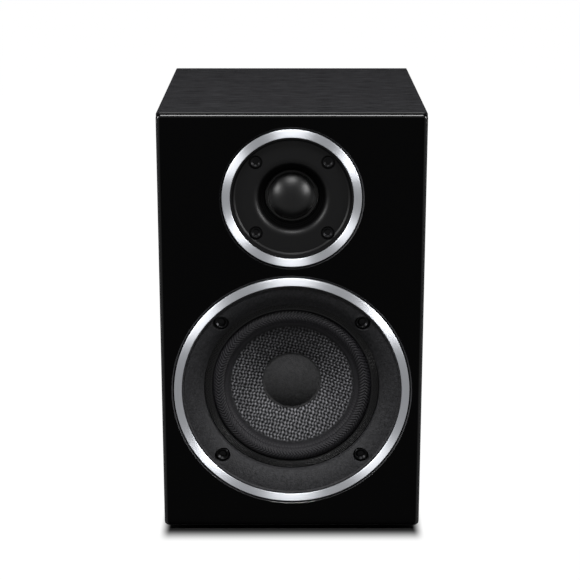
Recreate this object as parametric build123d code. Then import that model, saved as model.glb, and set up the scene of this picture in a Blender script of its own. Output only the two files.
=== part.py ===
from build123d import *
import os
from math import cos, pi, radians, sin, sqrt

# Two-way bookshelf speaker in millimetres. +Z is up, the drive units face -Y, the origin is under the middle.
# Depths are counted from the baffle's front face towards the back of the cabinet.

# Cabinet
WIDTH = 143.0
HEIGHT = 234.0
DEPTH = 165.0
WALL = 12.0
CARCASS_CORNER = 0.8
FOOT_HEIGHT = 2.0
FOOT_RADIUS = 6.5
FOOT_INSET = 16.0
FASCIA_THICKNESS = 3.6
SHADOW_GAP = 0.5
BAFFLE_THICKNESS = 18.0
BAFFLE_REBATE_WALL = 5.0
BAFFLE_CORNER = 2.7
BAFFLE_ROUND = 2.4
WADDING_FRONT = 86.0
WADDING_GAP = 26.0
WADDING_LIFT = 5.0

# Parts that both drive units have
RING_PROUD = 0.6
RING_EDGE = 0.35
RECESS_LIP = 0.7
GASKET = 1.0
PLAY = 0.05

# Woofer
WOOFER_Z = FOOT_HEIGHT + 80.1
WOOFER_RING_OUTER = 64.5
WOOFER_RING_INNER = 60.4
WOOFER_RING_BACK = 1.8
WOOFER_RECESS = 65.3
WOOFER_HOLE = 51.6
WOOFER_FLANGE = 64.6
WOOFER_FLANGE_BACK = 8.0
WOOFER_SCREW_CIRCLE = 54.5
WOOFER_SCREW_SEAT = 6.6
WOOFER_SCREW_POCKET = 4.35
WOOFER_SCREW_HOLE = 2.3
WOOFER_SCREW_SHANK = 1.8
WOOFER_SCREW_HEAD = (3.5, 2.0)
WOOFER_SCREW_LENGTH = 9.5
WOOFER_SCREW_KEY = 3.0
DISH_DEPTH = 6.0
DISH_STEP = (0.7, 0.8)
DISH_BULGE = 0.97
SEAT_RADIUS = 48.5
SEAT_DEPTH = 11.4
ROLL_OUTER = 44.0
ROLL_INNER = 37.0
ROLL_HEIGHT = 2.7
RUBBER = 0.5
HEM = 2.2
CONE_OUTER = 36.9
CONE_RIM_LEAN = 0.235
CONE_BEND = 95.0
CONE_THICKNESS = 0.7
GLUE_LINE = 0.1
CAP_RADIUS = 15.4
CAP_HEIGHT = 4.6
CAP_SHELL = 0.6
FORMER_INNER = 12.5
FORMER_OUTER = 12.8
FORMER_LENGTH = (20.0, 49.0)
COIL_OUTER = 13.5
COIL_LENGTH = (40.5, 48.5)
SPIDER_DEPTH = 29.5
SPIDER_RIM = 37.5
BASKET_BACK = 42.5
BASKET_WALL = 2.0
BASKET_FOOT = 39.0
BASKET_WINDOWS = 6
LUG_FACE = -46.5
LUG_DEPTH = (33.0, 41.0)
TERMINAL_BOARD = 1.6
WOOFER_TAB_END = 51.0
WOOFER_TAB_Z = 5.0
TOP_PLATE = 4.0
TOP_PLATE_RADIUS = 37.5
TOP_PLATE_BORE = 14.1
POLE_RADIUS = 11.7
POLE_VENT = 4.0
MAGNET_RADIUS = 39.5
MAGNET_BORE = 18.0
MAGNET_THICKNESS = 12.0

# Tweeter
TWEETER_Z = FOOT_HEIGHT + 188.4
TWEETER_RING_OUTER = 37.2
TWEETER_RING_INNER = 33.0
TWEETER_RING_BACK = 1.6
TWEETER_RECESS = 37.9
TWEETER_HOLE = 24.0
TWEETER_FLANGE_BACK = 5.6
TWEETER_FLOOR = 2.6
TWEETER_SCREW_CIRCLE = 27.2
TWEETER_SCREW_SEAT = 4.7
TWEETER_SCREW_POCKET = 3.75
TWEETER_SCREW_HOLE = 1.9
TWEETER_SCREW_SHANK = 1.5
TWEETER_SCREW_HEAD = (3.0, 1.3)
TWEETER_SCREW_LENGTH = 9.5
TWEETER_SCREW_KEY = 2.5
HORN_LIP = 21.6
DOME_RADIUS = 12.5
DOME_HEIGHT = 6.5
DOME_BASE = 8.9
DOME_SHELL = 0.3
DOME_ROLL = 1.6
DOME_HEM = 19.5
TWEETER_FORMER_END = 15.0
TWEETER_COIL = (10.6, 13.2)
TWEETER_COIL_OUTER = DOME_RADIUS + 0.4
TWEETER_GAP_OUTER = DOME_RADIUS + 0.9
TWEETER_MOTOR_RADIUS = 22.5
TWEETER_PLATE_FRONT = DOME_BASE + 1.5
TWEETER_PLATE = 3.0
TWEETER_MAGNET = 8.0
TWEETER_MAGNET_BORE = 15.5
TWEETER_POLE = 11.8
TWEETER_VENT = 3.0
TAB_DROP = 27.0
TAB_BLOCK = (7.5, 4.0)
TWEETER_TAB_X = 4.0
TWEETER_TAB_END = 21.0

# Rear fittings
PORT_Z = FOOT_HEIGHT + 178.0
PORT_BORE = 15.0
PORT_WALL = 2.0
PORT_INNER_END = 95.0
PORT_FLANGE = 27.0
PORT_FLANGE_THICKNESS = 2.0
PORT_FLARE = 6.5
PORT_SOCKET = PORT_BORE + PORT_FLARE + 1.0
CUP_Z = FOOT_HEIGHT + 62.0
CUP_FLANGE = (88.0, 58.0)
CUP_FLANGE_CORNER = 7.0
CUP_OPENING = (62.0, 38.0)
CUP_OPENING_CORNER = 4.0
CUP_WALL = 2.0
CUP_FLOOR = 2.5
CUP_DEPTH = 14.3
CUP_FIT = 0.2
CUP_SCREW_INSET = 6.0
CUP_SCREW_HOLE = 1.7
CUP_SCREW_SHANK = 1.4
CUP_SCREW_HEAD = (2.8, 1.8)
CUP_SCREW_LENGTH = 11.0
SMALL_KEY = 2.0
POST_X = 16.0
POST_BORE = 2.0
POST_BORE_DEPTH = 14.0
POST_RADIUS = 3.6
POST_RECESS = 0.5
CROSS_HOLE = 1.0
CROSS_HOLE_RISE = 2.0
STUD_RADIUS = 2.5
STUD_FIT = 0.1
STUD_LENGTH = 9.0
COLLAR_RADIUS = 6.5
COLLAR_THICKNESS = 3.0
WASHER_RADIUS = 5.8
WASHER_THICKNESS = 1.2
KNOB_RADIUS = 7.0
KNOB_LENGTH = 17.2
KNOB_SKIRT = 3.0
KNOB_FLUTES = 12
FLUTE_RADIUS = 1.2
SCREW_FIT = 0.08
TAG_THICKNESS = 0.6
TAG_TAIL = 17.0
NUT_THICKNESS = 3.4
NUT_FLATS = 8.0

# Crossover
BOARD_WIDTH = 84.0
BOARD_LENGTH = 54.0
BOARD_THICKNESS = 1.6
BOARD_FRONT = 80.0
BOARD_SCREW_INSET = 5.0
BOARD_HOLE = 1.6
BOARD_SCREW_SHANK = 1.3
BOARD_SCREW_HEAD = (2.6, 1.8)
SPACER_HEIGHT = 6.0
SPACER_RADIUS = 3.5
BOBBIN_WALL = 1.2
WIRE_RADIUS = 1.1

# Crossover parts: place on the board as x and distance from its front edge, then sizes
BASS_INDUCTOR_PLACE = (-20.0, 27.0)
BASS_INDUCTOR_SIZE = (5.0, 15.0, 17.0)
TREBLE_INDUCTOR_PLACE = (27.0, 16.0)
TREBLE_INDUCTOR_SIZE = (3.5, 9.0, 12.0)
BASS_CAPACITOR_PLACE = (18.0, 43.0)
BASS_CAPACITOR_SIZE = (6.0, 28.0)
TREBLE_CAPACITOR_PLACE = (17.0, 31.0)
TREBLE_CAPACITOR_SIZE = (5.0, 22.0)
RESISTOR_PLACE = (5.0, 14.0)
RESISTOR_SIZE = (6.0, 20.0, 7.0)

# Places that follow from the sizes above
REAR_INSIDE = DEPTH - WALL
CUP_FACE = DEPTH + GASKET + CUP_FLOOR
CUP_FLOOR_FACE = CUP_FACE - CUP_DEPTH
CUP_BACK = CUP_FLOOR_FACE - CUP_FLOOR
CUP_BODY = (CUP_OPENING[0] + 2 * CUP_WALL, CUP_OPENING[1] + 2 * CUP_WALL)
CUP_BODY_CORNER = CUP_OPENING_CORNER + CUP_WALL
COLLAR_TOP = CUP_FLOOR_FACE + COLLAR_THICKNESS
WASHER_FRONT = COLLAR_TOP + PLAY
KNOB_FRONT = WASHER_FRONT + WASHER_THICKNESS + PLAY
KNOB_END = KNOB_FRONT + KNOB_LENGTH
POST_END = KNOB_END - POST_RECESS
TAG_FRONT = CUP_BACK - TAG_THICKNESS
FRONT_Y = -(KNOB_END - RING_PROUD) / 2
MIDDLE_Z = FOOT_HEIGHT + HEIGHT / 2
FLOOR_Z = FOOT_HEIGHT + WALL
BOARD_Z = FLOOR_Z + SPACER_HEIGHT
BOARD_TOP = BOARD_Z + BOARD_THICKNESS
TOP_PLATE_BACK = BASKET_BACK + TOP_PLATE
MAGNET_BACK = TOP_PLATE_BACK + MAGNET_THICKNESS
TWEETER_MAGNET_FRONT = TWEETER_PLATE_FRONT + TWEETER_PLATE
TWEETER_MAGNET_BACK = TWEETER_MAGNET_FRONT + TWEETER_MAGNET
TAB_Z = TWEETER_Z - TAB_DROP

LOW = (Align.CENTER, Align.CENTER, Align.MIN)
HIGH = (Align.CENTER, Align.CENTER, Align.MAX)


def at(x, depth, z):
    """Place given by a depth behind the baffle's face."""
    return Pos(x, FRONT_Y + depth, z)


def turned(z, start, *steps):
    """Solid of revolution about a Y axis at height z. Points are (radius, depth), a pair of points an arc."""
    edges = []
    here = start
    for step in steps + (start,):
        if isinstance(step[0], tuple):
            edges.append(ThreePointArc(here, step[0], step[1]))
            here = step[1]
        else:
            edges.append(Line(here, step))
            here = step
    return at(0, 0, z) * revolve(make_face(edges), Axis.Y)


def washer(z, inner, outer, front, back):
    """Plain ring about a drive unit's axis."""
    return turned(z, (inner, front), (outer, front), (outer, back), (inner, back))


def rod(x, z, radius, front, back):
    """Round bar along Y."""
    return at(x, front, z) * Rot(-90, 0, 0) * Cylinder(radius, back - front, align=LOW)


def tube(x, z, inner, outer, front, back):
    """Plain sleeve along Y."""
    return rod(x, z, outer, front, back) - rod(x, z, inner, front - 1, back + 1)


def block(x, depth, z):
    """Box from three (low, high) pairs."""
    size = [pair[1] - pair[0] for pair in (x, depth, z)]
    return at(sum(x) / 2, sum(depth) / 2, sum(z) / 2) * Box(*size)


def slab(sketch, front, back, z):
    """Upright plate cut from a sketch whose Y is height."""
    return at(0, front, z) * Rot(90, 0, 0) * extrude(sketch, -(back - front))


def corners(radius, z):
    """Four (x, z) places at 45 degrees on a circle about the Y axis at height z."""
    angles = [radians(45 + 90 * i) for i in range(4)]
    return [(radius * cos(angle), z + radius * sin(angle)) for angle in angles]


def screw(head, shank, length, key):
    """Cap screw standing on its seat, with a dished head of (radius, height) round a hexagon socket."""
    radius, height = head
    cap = Cylinder(radius, height, align=LOW)
    cap = chamfer(cap.edges().group_by(Axis.Z)[-1], height * 0.1)
    dish = Pos(0, 0, height) * Cone(key * 0.6, radius * 0.8, height * 0.4, align=HIGH)
    hexagon = Pos(0, 0, height) * RegularPolygon(key / 2, 6, major_radius=False)
    socket = extrude(hexagon, -height * 0.7)
    return cap + Cylinder(shank, length, align=HIGH) - dish - socket


def lead(radius, points, bend):
    """Round wire along straight runs joined by arcs. Points are (x, depth, z)."""
    path = FilletPolyline(*[Vector(x, FRONT_Y + depth, z) for x, depth, z in points], radius=bend)
    return sweep(Plane(path @ 0, z_dir=path % 0) * Circle(radius), path)


def shell_arc(radius, height, crown):
    """Point part of the way down a spherical cap, for drawing its arc."""
    sphere = (radius ** 2 + height ** 2) / (2 * height)
    angle = radians(18)
    return (sphere * sin(angle), crown + sphere * (1 - cos(angle)))


def bulge(start, end, rise):
    """Point that stands a rise in front of the middle of a line that runs inwards and back."""
    inwards, back = start[0] - end[0], end[1] - start[1]
    share = rise / sqrt(inwards ** 2 + back ** 2)
    return ((start[0] + end[0]) / 2 - back * share, (start[1] + end[1]) / 2 - inwards * share)


# Cabinet

def carcass():
    """Four mitred panels, rebated at the front for the baffle."""
    outline = RectangleRounded(WIDTH, HEIGHT, CARCASS_CORNER)
    rebate = Rectangle(WIDTH - 2 * BAFFLE_REBATE_WALL, HEIGHT - 2 * BAFFLE_REBATE_WALL)
    hollow = Rectangle(WIDTH - 2 * WALL, HEIGHT - 2 * WALL)
    shell = slab(outline - rebate, FASCIA_THICKNESS + SHADOW_GAP, BAFFLE_THICKNESS, MIDDLE_Z)
    shell += slab(outline - hollow, BAFFLE_THICKNESS, DEPTH, MIDDLE_Z)
    for x, depth in board_screw_places():
        shell -= at(x, depth, FLOOR_Z) * Cylinder(BOARD_SCREW_SHANK + PLAY, WALL * 0.8, align=HIGH)
    past, inside = 2.0, 2 * WALL
    names = ("top_panel", "right_panel", "bottom_panel", "left_panel")
    halves = ((WIDTH / 2, HEIGHT / 2), (HEIGHT / 2, WIDTH / 2)) * 2
    panels = {}
    for turn, (name, (across, up)) in enumerate(zip(names, halves)):
        near, far = (across - inside, up - inside), (across + past, up + past)
        wedge = Polygon((-near[0], near[1]), near, far, (-far[0], far[1]), align=None)
        panels[name] = shell & slab(Rot(0, 0, -90 * turn) * wedge, 0, DEPTH, MIDDLE_Z)
    return panels


def front_baffle():
    """Rounded fascia on a plug that fills the carcass rebate, cut for both drive units."""
    fascia = slab(RectangleRounded(WIDTH, HEIGHT, BAFFLE_CORNER), 0, FASCIA_THICKNESS, MIDDLE_Z)
    fascia = fillet(fascia.faces().sort_by(Axis.Y)[0].edges(), BAFFLE_ROUND)
    plug = Rectangle(WIDTH - 2 * BAFFLE_REBATE_WALL, HEIGHT - 2 * BAFFLE_REBATE_WALL)
    board = fascia + slab(plug, FASCIA_THICKNESS, BAFFLE_THICKNESS, MIDDLE_Z)
    board -= recess(WOOFER_Z, WOOFER_RECESS, WOOFER_HOLE, WOOFER_FLANGE_BACK + GASKET)
    board -= recess(TWEETER_Z, TWEETER_RECESS, TWEETER_HOLE, TWEETER_FLANGE_BACK + GASKET)
    board -= tab_notch(TWEETER_FLANGE_BACK, BAFFLE_THICKNESS + 1)
    for x, z in corners(WOOFER_SCREW_CIRCLE, WOOFER_Z):
        board -= rod(x, z, WOOFER_SCREW_SHANK + PLAY, WOOFER_FLANGE_BACK, BAFFLE_THICKNESS - 1)
    for x, z in corners(TWEETER_SCREW_CIRCLE, TWEETER_Z):
        board -= rod(x, z, TWEETER_SCREW_SHANK + PLAY, TWEETER_FLANGE_BACK, BAFFLE_THICKNESS - 3)
    return board


def recess(z, wide, narrow, depth):
    """Stepped hole for a drive unit, with a broken front edge."""
    mouth = wide + RECESS_LIP
    past = BAFFLE_THICKNESS + 1
    return turned(
        z, (0, -1), (mouth, -1), (mouth, 0), (wide, RECESS_LIP), (wide, depth), (narrow, depth),
        (narrow, past), (0, past),
    )


def tab_notch(front, back):
    """Slot below the tweeter for its terminal block."""
    half, up = TAB_BLOCK
    return block((-half - 1, half + 1), (front, back), (TAB_Z - up - 1, TWEETER_Z - TWEETER_HOLE + 5))


def rear_panel():
    """Inset back with holes for the port and the terminal cup."""
    panel = slab(Rectangle(WIDTH - 2 * WALL, HEIGHT - 2 * WALL), REAR_INSIDE, DEPTH, MIDDLE_Z)
    panel -= rod(0, PORT_Z, PORT_SOCKET + 0.1, REAR_INSIDE - 1, DEPTH + 1)
    panel -= slab(cup_hole(), REAR_INSIDE - 1, DEPTH + 1, CUP_Z)
    for x, z in cup_screw_places():
        panel -= rod(x, z, CUP_SCREW_SHANK + PLAY, REAR_INSIDE + 1, DEPTH + 1)
    return panel


def feet():
    """Four round rubber feet with a broken lower edge."""
    pad = Cylinder(FOOT_RADIUS, FOOT_HEIGHT, align=LOW)
    pad = chamfer(pad.edges().group_by(Axis.Z)[0], FOOT_HEIGHT / 4)
    x = WIDTH / 2 - FOOT_INSET
    depths = (FOOT_INSET, DEPTH - FOOT_INSET)
    return Compound([at(side * x, depth, 0) * pad for side in (-1, 1) for depth in depths])


def wadding():
    """Block of damping wool held between the side panels and the back."""
    side = WIDTH / 2 - WALL
    height = (CUP_Z + CUP_FLANGE[1] / 2 + WADDING_LIFT, PORT_Z - WADDING_GAP)
    return block((-side, side), (WADDING_FRONT, REAR_INSIDE), height)


def reflex_port():
    """Flared tube through the rear panel."""
    lip = DEPTH + PORT_FLANGE_THICKNESS
    swing = PORT_FLARE * (1 - cos(radians(45)))
    outer = PORT_BORE + PORT_WALL
    edge = PORT_FLANGE_THICKNESS * 0.4
    return turned(
        PORT_Z, (PORT_BORE, PORT_INNER_END), (PORT_BORE, lip - PORT_FLARE),
        ((PORT_BORE + swing, lip - swing), (PORT_BORE + PORT_FLARE, lip)),
        (PORT_FLANGE - edge, lip), (PORT_FLANGE, lip - edge), (PORT_FLANGE, DEPTH), (PORT_SOCKET, DEPTH),
        (PORT_SOCKET, REAR_INSIDE + PORT_WALL), (outer, REAR_INSIDE - PORT_WALL), (outer, PORT_INNER_END),
    )


# Woofer

def trim_ring(z, inner, outer, back):
    """Flat brushed ring with broken edges."""
    front = -RING_PROUD
    return turned(
        z, (inner, front + RING_EDGE), (inner + RING_EDGE, front), (outer - RING_EDGE, front),
        (outer, front + RING_EDGE), (outer, back), (inner, back),
    )


def gasket(z, inner, outer, front, screw_circle, screw_hole):
    """Foam ring under a flange, pierced for the screws."""
    ring = washer(z, inner, outer, front, front + GASKET)
    for x, up in corners(screw_circle, z):
        ring -= rod(x, up, screw_hole, front - 1, front + GASKET + 1)
    return ring


def seated_screws(circle, z, seat, shape):
    """Four screws on a circle, heads to the front."""
    return Compound([at(x, seat, up) * Rot(90, 0, 0) * shape for x, up in corners(circle, z)])


def woofer_frame():
    """Dished flange and open basket in one casting, with a lug for the terminal board."""
    rim = WOOFER_RING_INNER - 0.1
    bead = 0.5
    waist = WOOFER_HOLE - 0.6
    waist_depth = SEAT_DEPTH + 3.6
    throat = ROLL_OUTER - 0.5
    ledge = SPIDER_RIM - 4.0
    shelf = SPIDER_DEPTH + RUBBER
    knee = (BASKET_FOOT + 1.3, BASKET_BACK - 6.5)
    inner_floor = BASKET_BACK - BASKET_WALL
    neck = TOP_PLATE_RADIUS - 15.5
    edge = (rim - 1.4 * bead, 0)
    step = (edge[0] - DISH_STEP[0], DISH_STEP[1])
    frame = turned(
        WOOFER_Z, (WOOFER_FLANGE, WOOFER_RING_BACK), (rim, WOOFER_RING_BACK), (rim, bead),
        ((rim - 0.3 * bead, 0.3 * bead), (rim - bead, 0)), edge, step,
        (bulge(step, (SEAT_RADIUS, DISH_DEPTH), DISH_BULGE), (SEAT_RADIUS, DISH_DEPTH)),
        (SEAT_RADIUS, SEAT_DEPTH), (throat, SEAT_DEPTH), (throat, SEAT_DEPTH + 2),
        (waist - BASKET_WALL, waist_depth), (knee[0] + 0.7, shelf), (ledge, shelf),
        (ledge, shelf + BASKET_WALL), (knee[0] - 0.3, shelf + BASKET_WALL),
        (BASKET_FOOT - BASKET_WALL, inner_floor), (neck, inner_floor),
        (neck, BASKET_BACK), (BASKET_FOOT, BASKET_BACK), knee, (waist, waist_depth),
        (waist, WOOFER_FLANGE_BACK), (WOOFER_FLANGE, WOOFER_FLANGE_BACK),
    )
    for turn in range(BASKET_WINDOWS):
        frame -= basket_window(360 / BASKET_WINDOWS * turn, waist_depth + 1.5, shelf - 2)
    half = WOOFER_TAB_Z + 3
    frame += block((LUG_FACE, 0.4 - BASKET_FOOT), LUG_DEPTH, (WOOFER_Z - half, WOOFER_Z + half))
    for x, z in corners(WOOFER_SCREW_CIRCLE, WOOFER_Z):
        frame -= rod(x, z, WOOFER_SCREW_POCKET, -2, WOOFER_SCREW_SEAT)
        frame -= rod(x, z, WOOFER_SCREW_HOLE, WOOFER_SCREW_SEAT - 1, WOOFER_FLANGE_BACK + 1)
    return frame


def basket_window(angle, front, back):
    """Opening between two basket legs."""
    near, far = 30.0, 60.0
    section = make_face(Polyline((near, front), (far, front), (far, back), (near, back), close=True))
    span = 0.7 * 360 / BASKET_WINDOWS
    return at(0, 0, WOOFER_Z) * Rot(0, angle - span / 2, 0) * revolve(section, Axis.Y, span)


def clamp_ring():
    """Moulded ring with fine ridges that holds the surround's outer edge."""
    back = SEAT_DEPTH - RUBBER
    outer = SEAT_RADIUS - 0.2
    inner = ROLL_OUTER + 0.3
    top = back - 1.6
    ridges = 4
    pitch = (outer - inner) / (ridges + 1)
    crest = 0.35
    steps = []
    for i in range(ridges):
        start = outer - pitch * (i + 0.5)
        steps += [(start, top), ((start - pitch / 4, top - crest), (start - pitch / 2, top))]
    return turned(WOOFER_Z, (outer, back), (outer, top), *steps, (inner, top), (inner, back))


def cone_front(radius):
    """Depth of the cone's front face, which bends on a circle and leans least at the rim."""
    lean = CONE_RIM_LEAN + (ROLL_INNER - radius) / CONE_BEND
    drop = CONE_BEND * (sqrt(1 - CONE_RIM_LEAN ** 2) - sqrt(1 - lean ** 2))
    return SEAT_DEPTH + GLUE_LINE + drop


def surround():
    """Half-roll rubber edge with its two glued flanges."""
    front = SEAT_DEPTH - RUBBER
    outer = SEAT_RADIUS - 0.2
    middle = (ROLL_OUTER + ROLL_INNER) / 2
    crest = front - ROLL_HEIGHT
    hem = ROLL_INNER - HEM
    drop = cone_front(hem) - cone_front(ROLL_INNER)
    return turned(
        WOOFER_Z, (outer, front), (ROLL_OUTER, front), ((middle, crest), (ROLL_INNER, front)),
        (hem, front + drop), (hem, SEAT_DEPTH + drop), (ROLL_INNER, SEAT_DEPTH),
        ((middle, crest + RUBBER), (ROLL_OUTER, SEAT_DEPTH)), (outer, SEAT_DEPTH),
    )


def cone():
    """Woven cone that flattens towards its rim."""
    neck = FORMER_OUTER + PLAY
    middle = (CONE_OUTER + neck) / 2
    front = [(radius, cone_front(radius)) for radius in (neck, middle, CONE_OUTER)]
    back = [(radius, depth + CONE_THICKNESS) for radius, depth in front]
    return turned(WOOFER_Z, front[0], (front[1], front[2]), back[2], (back[1], back[0]))


def dust_cap():
    """Shallow domed cap glued to the cone."""
    base = cone_front(CAP_RADIUS)
    crown = base - CAP_HEIGHT
    inside = CAP_RADIUS - CAP_SHELL
    lower = cone_front(inside)
    under = crown + CAP_SHELL
    return turned(
        WOOFER_Z, (0, crown), (shell_arc(CAP_RADIUS, CAP_HEIGHT, crown), (CAP_RADIUS, base)), (inside, lower),
        (shell_arc(inside, lower - under, under), (0, under)),
    )


def spider():
    """Corrugated centring disc."""
    waves, swing = 6, 0.9
    inner, first, last = FORMER_OUTER + 0.2, FORMER_OUTER + 2.2, SPIDER_RIM - 4.5
    pitch = (last - first) / waves
    back_face = SPIDER_DEPTH + RUBBER
    front, back = [], []
    for i in range(waves):
        middle = first + pitch * (i + 0.5)
        side = swing if i % 2 else -swing
        front.append(((middle, SPIDER_DEPTH + side), (first + pitch * (i + 1), SPIDER_DEPTH)))
        back.append(((middle, back_face + side), (first + pitch * i, back_face)))
    return turned(
        WOOFER_Z, (inner, SPIDER_DEPTH), (first, SPIDER_DEPTH), *front, (SPIDER_RIM, SPIDER_DEPTH),
        (SPIDER_RIM, back_face), (last, back_face), *reversed(back), (inner, back_face),
    )


def yoke(z, pole, vent, plate, top, plate_front, plate_back):
    """Back plate with a vented pole."""
    return turned(
        z, (vent, top), (pole, top), (pole, plate_front), (plate, plate_front), (plate, plate_back),
        (vent, plate_back),
    )


def woofer_terminal_board():
    """Insulating strip on the basket lug."""
    thickness = (LUG_FACE - TERMINAL_BOARD, LUG_FACE)
    half = WOOFER_TAB_Z + 4
    return block(thickness, (LUG_DEPTH[0] - 1.5, LUG_DEPTH[1] + 1), (WOOFER_Z - half, WOOFER_Z + half))


def woofer_tabs():
    """Two blade tabs on the terminal board."""
    face = LUG_FACE - TERMINAL_BOARD
    half = 2.4
    blades = []
    for z in (WOOFER_Z - WOOFER_TAB_Z, WOOFER_Z + WOOFER_TAB_Z):
        blades.append(block((face - 0.8, face), (LUG_DEPTH[0] + 1, WOOFER_TAB_END), (z - half, z + half)))
    return Compound(blades)


def tinsel_leads():
    """Two braided leads from the terminal board through a basket window to the back of the cone."""
    radius, bend, foot = 0.6, 3.0, 20.0
    x = LUG_FACE - TERMINAL_BOARD / 2
    end = cone_front(foot) + CONE_THICKNESS + 0.8
    leads = []
    for z in (WOOFER_Z - WOOFER_TAB_Z, WOOFER_Z + WOOFER_TAB_Z):
        points = [(x, LUG_DEPTH[0] - 1.5, z), (x, 23.0, z), (-foot - 5, 25.0, z), (-foot, end, z)]
        leads.append(lead(radius, points, bend))
    return Compound(leads)


def woofer():
    """Every piece of the woofer by name."""
    inner_flange = (WOOFER_HOLE, WOOFER_FLANGE, WOOFER_FLANGE_BACK)
    cap_screw = screw(WOOFER_SCREW_HEAD, WOOFER_SCREW_SHANK, WOOFER_SCREW_LENGTH, WOOFER_SCREW_KEY)
    yoke_sizes = (POLE_RADIUS, POLE_VENT, TOP_PLATE_RADIUS, BASKET_BACK - 0.5)
    plates = (MAGNET_BACK, MAGNET_BACK + TOP_PLATE)
    return {
        "woofer_trim_ring": trim_ring(WOOFER_Z, WOOFER_RING_INNER, WOOFER_RING_OUTER, WOOFER_RING_BACK),
        "woofer_frame": woofer_frame(),
        "woofer_gasket": gasket(WOOFER_Z, *inner_flange, WOOFER_SCREW_CIRCLE, WOOFER_SCREW_HOLE),
        "woofer_screws": seated_screws(WOOFER_SCREW_CIRCLE, WOOFER_Z, WOOFER_SCREW_SEAT, cap_screw),
        "woofer_clamp_ring": clamp_ring(),
        "woofer_surround": surround(),
        "woofer_cone": cone(),
        "woofer_dust_cap": dust_cap(),
        "woofer_coil_former": washer(WOOFER_Z, FORMER_INNER, FORMER_OUTER, *FORMER_LENGTH),
        "woofer_voice_coil": washer(WOOFER_Z, FORMER_OUTER, COIL_OUTER, *COIL_LENGTH),
        "woofer_spider": spider(),
        "woofer_top_plate": washer(WOOFER_Z, TOP_PLATE_BORE, TOP_PLATE_RADIUS, BASKET_BACK, TOP_PLATE_BACK),
        "woofer_magnet": washer(WOOFER_Z, MAGNET_BORE, MAGNET_RADIUS, TOP_PLATE_BACK, MAGNET_BACK),
        "woofer_back_plate": yoke(WOOFER_Z, *yoke_sizes, *plates),
        "woofer_terminal_board": woofer_terminal_board(),
        "woofer_terminal_tabs": woofer_tabs(),
        "woofer_tinsel_leads": tinsel_leads(),
    }


# Tweeter

def faceplate():
    """Dished plate with a raised rim, a stepped horn, four screw pockets and a terminal block behind."""
    rim = TWEETER_RING_INNER - 0.1
    bead = 0.5
    foot = rim - 1.9
    throat = DOME_RADIUS + 1.9
    horn_end = (HORN_LIP - 4.0, TWEETER_FLOOR + 3.0)
    steps = 3
    run, drop = (horn_end[0] - throat - bead) / steps, (DOME_BASE - 1.1 - horn_end[1]) / steps
    stairs = []
    for i in range(steps):
        here = (horn_end[0] - run * i, horn_end[1] + drop * i)
        stairs += [(here[0] - run * 0.7, here[1] + drop * 0.35), (here[0] - run, here[1] + drop)]
    plate = turned(
        TWEETER_Z, (TWEETER_RING_OUTER, TWEETER_RING_BACK), (rim, TWEETER_RING_BACK), (rim, bead + 0.1),
        ((rim - 0.3 * bead, 0.3 * bead + 0.1), (rim - bead, 0.1)), (rim - 1.6 * bead, 0.1),
        (foot, TWEETER_FLOOR - bead), (foot - 0.8, TWEETER_FLOOR), (HORN_LIP, TWEETER_FLOOR),
        ((HORN_LIP - 2.5, TWEETER_FLOOR + 0.8), horn_end), *stairs,
        ((throat + bead / 2, DOME_BASE - 1.35), (throat, DOME_BASE - 1.1)), (throat, DOME_BASE),
        (TWEETER_MOTOR_RADIUS, DOME_BASE), (TWEETER_MOTOR_RADIUS, TWEETER_FLANGE_BACK),
        (TWEETER_RING_OUTER, TWEETER_FLANGE_BACK),
    )
    half, up = TAB_BLOCK
    block_depth = (TWEETER_FLANGE_BACK - 1, TWEETER_FLANGE_BACK + 2)
    plate += block((-half, half), block_depth, (TAB_Z - up, TAB_Z + up))
    for x, z in corners(TWEETER_SCREW_CIRCLE, TWEETER_Z):
        plate -= rod(x, z, TWEETER_SCREW_POCKET, -1, TWEETER_SCREW_SEAT)
        plate -= rod(x, z, TWEETER_SCREW_HOLE, TWEETER_SCREW_SEAT - 1, TWEETER_FLANGE_BACK + 1)
    return plate


def tweeter_gasket():
    """Foam ring under the faceplate, notched for the terminal block."""
    flange = (TWEETER_HOLE, TWEETER_RING_OUTER, TWEETER_FLANGE_BACK)
    ring = gasket(TWEETER_Z, *flange, TWEETER_SCREW_CIRCLE, TWEETER_SCREW_HOLE)
    return ring - tab_notch(TWEETER_FLANGE_BACK - 1, TWEETER_FLANGE_BACK + GASKET + 1)


def dome():
    """Spherical soft dome."""
    crown = DOME_BASE - DOME_HEIGHT
    inside = DOME_RADIUS - DOME_SHELL
    under = crown + DOME_SHELL
    return turned(
        TWEETER_Z, (0, crown), (shell_arc(DOME_RADIUS, DOME_HEIGHT, crown), (DOME_RADIUS, DOME_BASE)),
        (inside, DOME_BASE), (shell_arc(inside, DOME_BASE - under, under), (0, under)),
    )


def dome_surround():
    """Small half-roll between the dome and its clamped hem."""
    inner = DOME_RADIUS + 0.15
    outer = inner + DOME_ROLL
    middle = (inner + outer) / 2
    crest = DOME_BASE - DOME_ROLL / 2
    back = DOME_BASE + DOME_SHELL
    return turned(
        TWEETER_Z, (DOME_HEM, DOME_BASE), (outer, DOME_BASE), ((middle, crest), (inner, DOME_BASE)),
        (inner, back), ((middle, crest + DOME_SHELL), (outer, back)), (DOME_HEM, back),
    )


def tweeter_mount_ring():
    """Spacer that clamps the dome's hem against the faceplate."""
    bore = DOME_RADIUS + 1.9
    front = DOME_BASE + DOME_SHELL
    return turned(
        TWEETER_Z, (bore, front), (DOME_HEM, front), (DOME_HEM, DOME_BASE), (TWEETER_MOTOR_RADIUS, DOME_BASE),
        (TWEETER_MOTOR_RADIUS, TWEETER_PLATE_FRONT), (bore, TWEETER_PLATE_FRONT),
    )


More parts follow.
